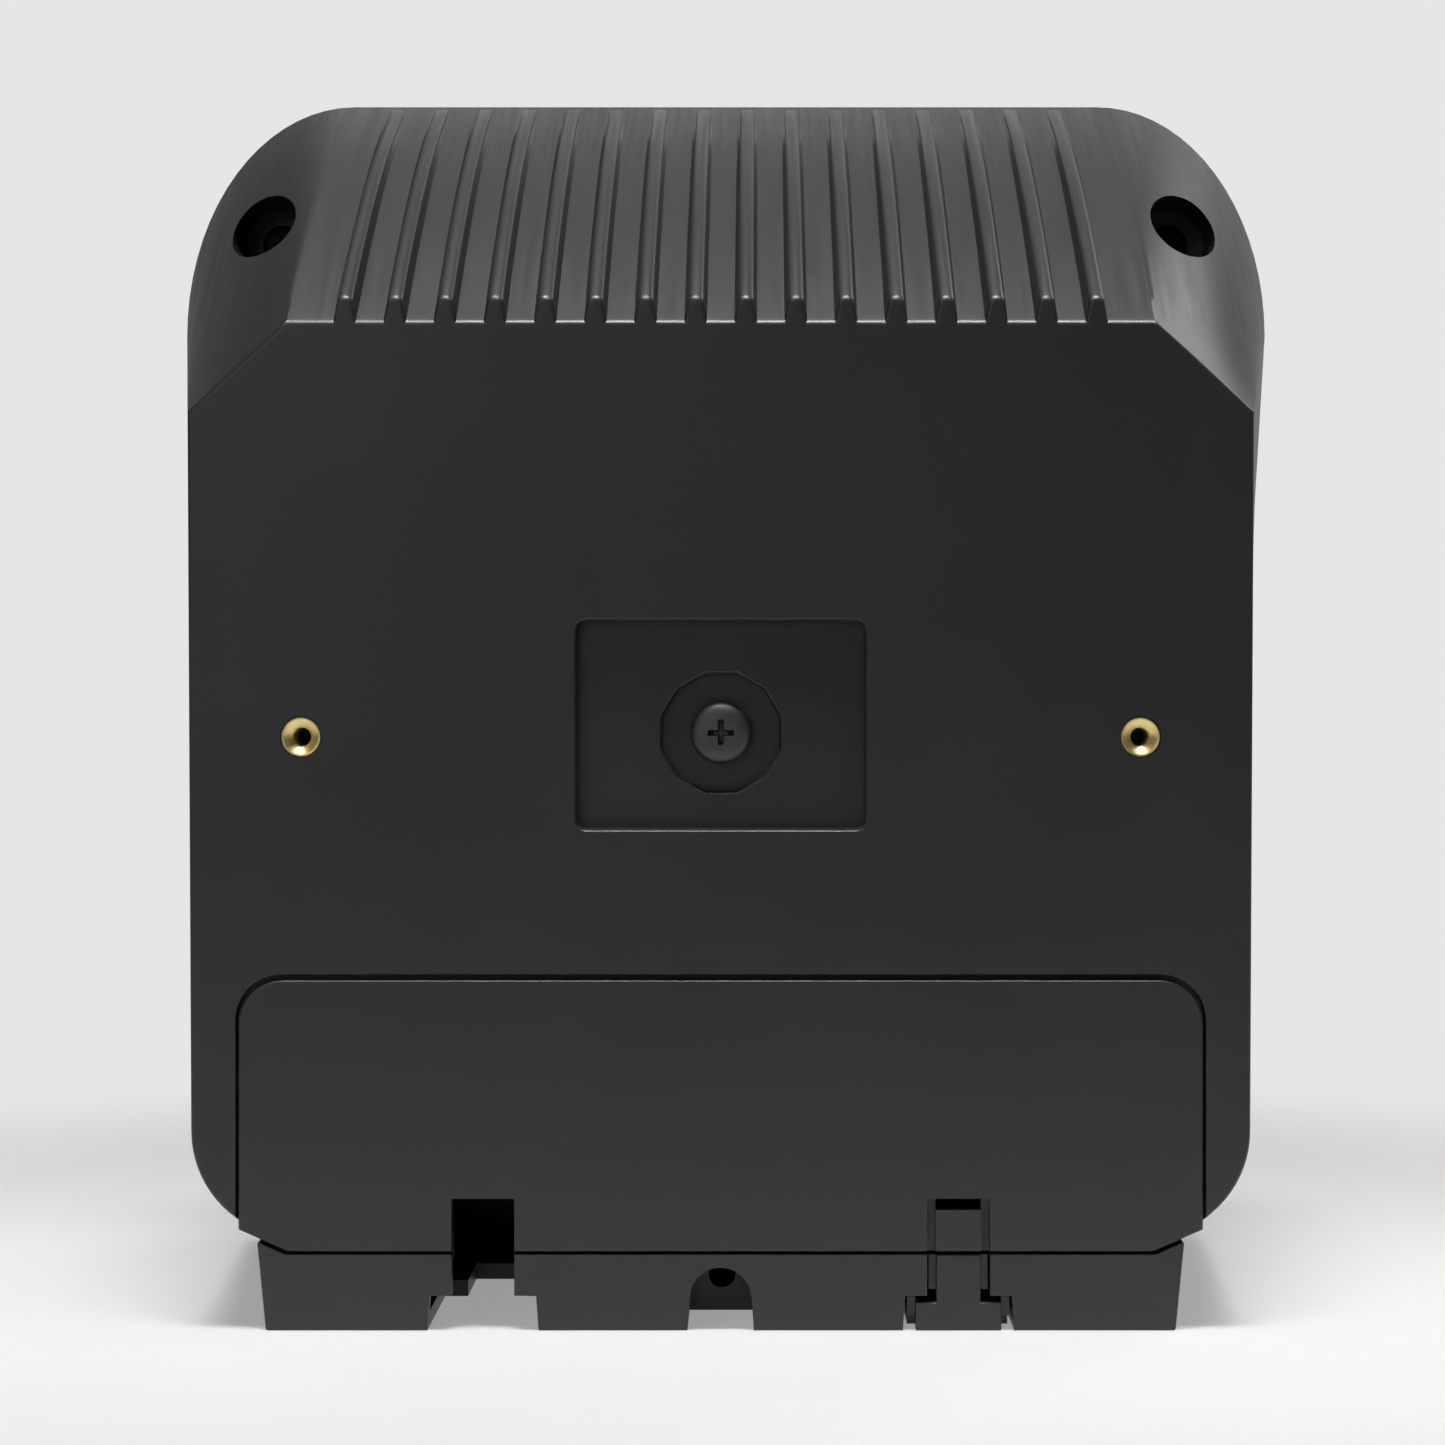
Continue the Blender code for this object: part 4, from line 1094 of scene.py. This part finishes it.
def screws():
    """The screw in the pocket, two from the front and two at the bottom of the wells."""
    head = (CENTRE_HEAD_RADIUS, CENTRE_HEAD_HEIGHT)
    seat = POCKET_FLOOR - SEAT_GAP
    pan_screw("centre_screw", (0.0, CENTRE_Z), seat, CENTRE_TIP, head, CENTRE_SHANK, BLACK_STEEL)
    head = (CASE_HEAD_RADIUS, CASE_HEAD_HEIGHT)
    seat = FRONT_FACE - LID_SINK + SEAT_GAP
    for node, spot in zip(("front_screw_1", "front_screw_2"), LID_SPOTS):
        pan_screw(node, spot, seat, LID_TIP, head, CASE_SHANK, BLACK_STEEL)
    seat = WELL_FLOOR - SEAT_GAP
    for node, spot in zip(("case_screw_left", "case_screw_right"), CASE_SPOTS):
        # These screws take the darker steel: painted shade for the bottom of the deep wells
        pan_screw(node, spot, seat, PLATE_BACK - 1.0, head, CASE_SHANK, PAINTED_SHADE_STEEL)


# Front cover and its controls

def lid_holes():
    """Window, key and light holes, screw passes and pilot holes."""
    through = (PLATE_BACK - 2.0, FRONT_FACE + PAST)
    window = rounded_rectangle(WINDOW_HALF, WINDOW_LOW, WINDOW_HIGH, WINDOW_RADIUS)
    holes = [slab("window", window, through)]
    holes += [rod("key_hole", x, KEY_Z, through, KEY_RADIUS + KEY_GAP, 40) for name, x in KEY_SPOTS]
    holes += [rod("light_hole", PIPE_X, z, through, PIPE_RADIUS + PIPE_GAP, 32) for z in PIPE_ZS]
    lid_pass = (COVER_BACK - 2.0, FRONT_FACE + PAST)
    holes += [rod("pass", x, z, lid_pass, CASE_PASS, 24) for x, z in LID_SPOTS]
    display_pilot = (DISPLAY_D, PLATE_BACK - 2.0)
    holes += [rod("pilot", x, z, display_pilot, DISPLAY_PILOT, 16) for x, z in DISPLAY_POSTS]
    case_pilot = (COVER_BACK - 2.0, PLATE_BACK - 0.5)
    holes += [rod("pilot", x, z, case_pilot, CASE_PILOT, 16) for x, z in CASE_SPOTS]
    return holes


def lid_lips():
    """Screw sinks, and the chamfers round the keys, the lights and the window."""
    sink = (FRONT_FACE - LID_SINK, FRONT_FACE + 2.0)
    cuts = [rod("sink", x, z, sink, LID_SINK_RADIUS, 40) for x, z in LID_SPOTS]
    lip = (FRONT_FACE - 0.7, FRONT_FACE + 0.5)
    hole = KEY_RADIUS + KEY_GAP
    cuts += [rod("key_lip", x, KEY_Z, lip, hole, 40, KEY_RADIUS + KEY_LIP) for name, x in KEY_SPOTS]
    hole = PIPE_RADIUS + PIPE_GAP
    cuts += [rod("light_lip", PIPE_X, z, lip, hole, 32, PIPE_RADIUS + PIPE_LIP) for z in PIPE_ZS]
    rows = []
    for d, grow in ((FRONT_FACE - 0.8, 0.0), (FRONT_FACE + 0.4, 1.2)):
        rows.append((grown_rectangle(WINDOW_HALF, WINDOW_LOW, WINDOW_HIGH, WINDOW_RADIUS, grow), d))
    return cuts + [loft("window_lip", rows)]


def front_cover():
    """Shallow lid with rounded edges, a chamfered window, key wells, light holes and screw wells."""
    lid = slab("front_cover_skin", housing_outline(1.0, LID_INSET), (COVER_BACK, FRONT_FACE))
    eased(lid, LID_EDGE, 5, 60.0)
    inside = housing_outline(1.0, LID_INSET + LID_WALL, COARSE_STEPS)
    carve(lid, slab("lid_hollow", inside, (COVER_BACK - PAST, PLATE_BACK)))
    root = PLATE_BACK + 1.0
    column = (COVER_BACK + 0.02, root)
    columns = [rod("column", x, z, column, CASE_BOSS_RADIUS) for x, z in LID_SPOTS + CASE_SPOTS]
    post = (DISPLAY_POST_BACK, root)
    columns += [rod("post", x, z, post, DISPLAY_POST_RADIUS) for x, z in DISPLAY_POSTS]
    build_on(lid, *columns)
    carve(lid, *lid_holes())
    carve(lid, *lid_lips())
    return dress(lid, HOUSING, "housing", ("front_cover",), 32.0)


def key_mark(name):
    """The outline of a key's plain mark, about its centre."""
    if name == "key_up":
        return [(0.0, MARK_HALF), (MARK_HALF, -MARK_BASE), (-MARK_HALF, -MARK_BASE)]
    if name == "key_down":
        return [(0.0, -MARK_HALF), (-MARK_HALF, MARK_BASE), (MARK_HALF, MARK_BASE)]
    if name == "key_enter":
        return arc((0.0, 0.0), (DOT_RADIUS, DOT_RADIUS), 0.0, 350.0, 35)
    left, right = about(0.0, DASH_HALF)
    low, high = about(0.0, DASH_RISE)
    return [(left, low), (right, low), (right, high), (left, high)]


def keys():
    """Dished key caps with a flange behind the plate, each with a plain raised mark."""
    rim = KEY_RADIUS
    flange = rim + KEY_FLANGE
    top = TOTAL_DEPTH
    profile = [(0.0, PLATE_BACK - KEY_FLANGE_BACK), (flange, PLATE_BACK - KEY_FLANGE_BACK)]
    profile += [(flange, PLATE_BACK - KEY_GAP), (rim, PLATE_BACK - KEY_GAP)]
    profile += [(rim, top - 0.6), (rim - 0.18, top - 0.18), (rim - 0.6, top), (rim - 1.3, top - 0.06)]
    profile += [(rim - 2.4, top - 0.2), (1.2, top - 0.3), (0.0, top - 0.32)]
    for name, x in KEY_SPOTS:
        cap = turned(name + "_cap", profile, x, KEY_Z, 48)
        dress(cap, KEY_GREY, name, (name,), 40.0)
        mark = slab(name + "_mark", shifted(key_mark(name), x, KEY_Z), (top - 0.6, top - 0.06))
        eased(mark, 0.06, 2)
        dress(mark, MARK_WHITE, name)


def light_pipes():
    """Clear light pipes with domed ends."""
    dome = FRONT_FACE - SUNK
    profile = [(0.0, PIPE_BACK), (PIPE_RADIUS, PIPE_BACK), (PIPE_RADIUS, dome)]
    profile += arc((0.0, dome), (PIPE_RADIUS, PIPE_DOME), 0.0, 90.0, 6)[1:]
    for number, z in enumerate(PIPE_ZS, 1):
        node = "light_pipe_%d" % number
        pipe = turned(node + "_skin", profile, PIPE_X, z, 32)
        dress(pipe, CLEAR, "housing", (node,), 40.0)


def display_window():
    """Smoked pane with eased edges."""
    half = WINDOW_HALF - PANE_GAP
    outline = rounded_rectangle(half, WINDOW_LOW + PANE_GAP, WINDOW_HIGH - PANE_GAP, PANE_RADIUS)
    pane = eased(slab("display_window_skin", outline, (PLATE_BACK, FRONT_FACE - SUNK)), 0.3, 2)
    dress(pane, PANE, "housing", ("display_window",), 35.0)


def terminal_screws():
    """Slotted clamp screws with a chamfered head."""
    flat_top = POLE_HEAD - POLE_CHAMFER
    profile = [(0.0, POLE_TOP), (flat_top, POLE_TOP), (POLE_HEAD, POLE_TOP + POLE_CHAMFER)]
    profile += [(POLE_HEAD, POLE_SEAT), (POLE_SHANK, POLE_SEAT)]
    for turn in range(4):
        d = POLE_SEAT + 0.4 + POLE_THREAD * turn
        profile += [(POLE_SHANK, d), (POLE_SHANK - POLE_CHAMFER, d + POLE_THREAD / 2.0)]
    profile += [(1.5, POLE_TIP), (0.0, POLE_TIP)]
    for index in range(POLE_COUNT):
        node = "terminal_screw_%d" % (index + 1)
        x = (index - (POLE_COUNT - 1) / 2.0) * POLE_PITCH
        screw = turned(node + "_skin", profile, x, POLE_Z, 40)
        height = about(POLE_Z, POLE_SLOT_HALF)
        carve(screw, block("slot", about(x, POLE_HEAD + 0.6), (POLE_TOP - 0.6, POLE_SLOT_FLOOR), height))
        dress(screw, ZINC, node, (node,), 35.0)


# Pieces that keep their CAD shape

def numbered(name, count):
    return ["%s_%d" % (name, number) for number in range(1, count + 1)]


def smoothed(material, slot, *nodes):
    """Merged, smoothly shaded copies of CAD nodes."""
    for node in nodes:
        copy = bpy.data.objects.new(node + "_skin", NODES[node].data.copy())
        bpy.context.scene.collection.objects.link(copy)
        with editing(copy):
            bpy.ops.mesh.remove_doubles(threshold=1e-6)
        dress(copy, material, "housing", (node,), 32.0)


def inside_pieces():
    smoothed(RUBBER, "seal_rubber", "shell_gasket")
    smoothed(TERMINAL, "terminal_green", "terminal_block")
    smoothed(FERRITE, "ferrite", "power_inductor")
    smoothed(SLEEVE, "capacitor_sleeve", *numbered("capacitor", 3))
    smoothed(ZINC, "zinc_steel", *numbered("board_screw", 4), *numbered("display_screw", 2))


def coat(material, *names):
    """Gives CAD nodes that keep their shape their finish."""
    for name in names:
        obj = NODES[name]
        obj.data.materials.clear()
        obj.data.materials.append(material)


def coat_the_rest():
    coat(BOARD, "main_board", "display_board")
    coat(ALUMINIUM, "heat_spreader")
    coat(EPOXY, "fuse_holder", *numbered("power_transistor", 4), *numbered("key_switch", 4))
    coat(BRASS, *numbered("terminal_contact", POLE_COUNT))
    coat(FUSE, "blade_fuse")
    coat(SCREEN, "display_module")


# Stage, in metres

def pale_paper():
    """Backdrop paper: it takes the shadow near the object and keeps one even pale tone away from it."""
    paper = Finish("pale_paper", Roughness=0.9)
    fibre = paper.noise(40.0, 3.0)
    paper.feed("Base Color", paper.colours(fibre, (0.84, 0.83, 0.81), (0.87, 0.86, 0.84)))
    aside = paper.smooth_step(abs(paper.along("X") - 0.06), 0.3, 0.52)
    behind = paper.smooth_step(paper.along("Y"), -0.4, -0.16)
    glossy = paper.node("LightPath", output="Is Glossy Ray")
    through = paper.node("LightPath", output="Is Transmission Ray")
    mirrored_rays = (0.06 + 0.94 * behind * (1.0 - aside)) * glossy.most(through)
    seen = paper.node("LightPath", output="Is Camera Ray").most(mirrored_rays)
    distance = paper.node("VectorMath", {"operation": "LENGTH"}, 1, _0=paper.points())
    away = paper.smooth_step(distance, 0.12, 0.3, 0.4)
    glow = paper.node("Emission", Color=(0.80, 0.79, 0.78, 1.0), Strength=1.0)
    lit = Value(paper.tree, paper.shader.outputs[0])
    shown = paper.node("MixShader", _0=seen * away, _1=lit, _2=glow)
    paper.tree.links.new(shown.socket, paper.tree.nodes["Material Output"].inputs["Surface"])
    paper.material.cycles.emission_sampling = "NONE"
    return paper.material


def studio_sweep():
    """A pale floor that curves up into a backdrop on every side."""
    wall_height = 1.2
    fresh()
    bpy.ops.mesh.primitive_plane_add(size=5.0, location=(0.0, -1.6, 0.0))
    sweep = settle(named("studio_sweep"))
    with editing(sweep):
        bpy.ops.mesh.select_mode(type="EDGE")
        bpy.ops.mesh.select_all(action="SELECT")
        bpy.ops.mesh.extrude_edges_move(TRANSFORM_OT_translate={"value": (0.0, 0.0, wall_height)})
    outward(sweep)
    curve = sweep.modifiers.new("curve", "BEVEL")
    curve.width = 0.3
    curve.segments = 12
    curve.limit_method = "ANGLE"
    apply(sweep, curve)
    bpy.ops.object.shade_smooth()
    sweep.data.materials.append(pale_paper())


def softbox(name, spot, aim, size, power, spread=180.0):
    """A rectangular studio light aimed at a point, its beam narrowed by its spread in degrees."""
    turn = (Vector(aim) - Vector(spot)).to_track_quat("-Z", "Y").to_euler()
    fresh()
    bpy.ops.object.light_add(type="AREA", location=spot, rotation=turn)
    lamp = bpy.context.object
    lamp.name = name
    lamp.data.shape = "RECTANGLE"
    lamp.data.size = size[0]
    lamp.data.size_y = size[1]
    lamp.data.energy = power
    lamp.data.spread = math.radians(spread)


def studio_light():
    softbox("top_light", (0.0, -0.2, 1.0), (0.0, -0.05, 0.0), size=(0.8, 0.2), power=0.84, spread=30.0)
    softbox("slope_light", (0.05, 0.42, 1.2), (0.0, 0.0, 0.17), size=(1.1, 0.5), power=0.56)
    softbox("right_light", (0.85, 0.6, 1.0), (0.07, 0.0, 0.15), size=(0.35, 0.45), power=2.35)
    softbox("front_light", (-0.6, -1.5, 0.7), (0.0, 0.0, 0.08), size=(0.8, 0.8), power=2.8)
    world = bpy.data.worlds.new("studio")
    bpy.context.scene.world = world
    world.use_nodes = True
    ambient = world.node_tree.nodes["Background"]
    ambient.inputs["Color"].default_value = (0.9, 0.95, 1.0, 1.0)
    ambient.inputs["Strength"].default_value = 0.06


def camera():
    """Straight at the back, from the distance that the fins' convergence gives."""
    fresh()
    bpy.ops.object.camera_add(location=CAMERA_SPOT, rotation=(math.pi / 2.0, 0.0, 0.0))
    view = bpy.context.object
    view.name = "photo_camera"
    view.data.sensor_width = CAMERA_SENSOR
    view.data.lens = CAMERA_LENS
    view.data.shift_x, view.data.shift_y = CAMERA_SHIFT
    view.data.clip_start = 0.01
    bpy.context.scene.camera = view


camera()
rear_shell()
slope_fins()
wiring_cover()
outlet_plug()
brass_inserts()
screws()
front_cover()
keys()
light_pipes()
display_window()
terminal_screws()
inside_pieces()
coat_the_rest()
studio_sweep()
studio_light()
bpy.context.scene.view_settings.view_transform = "Standard"
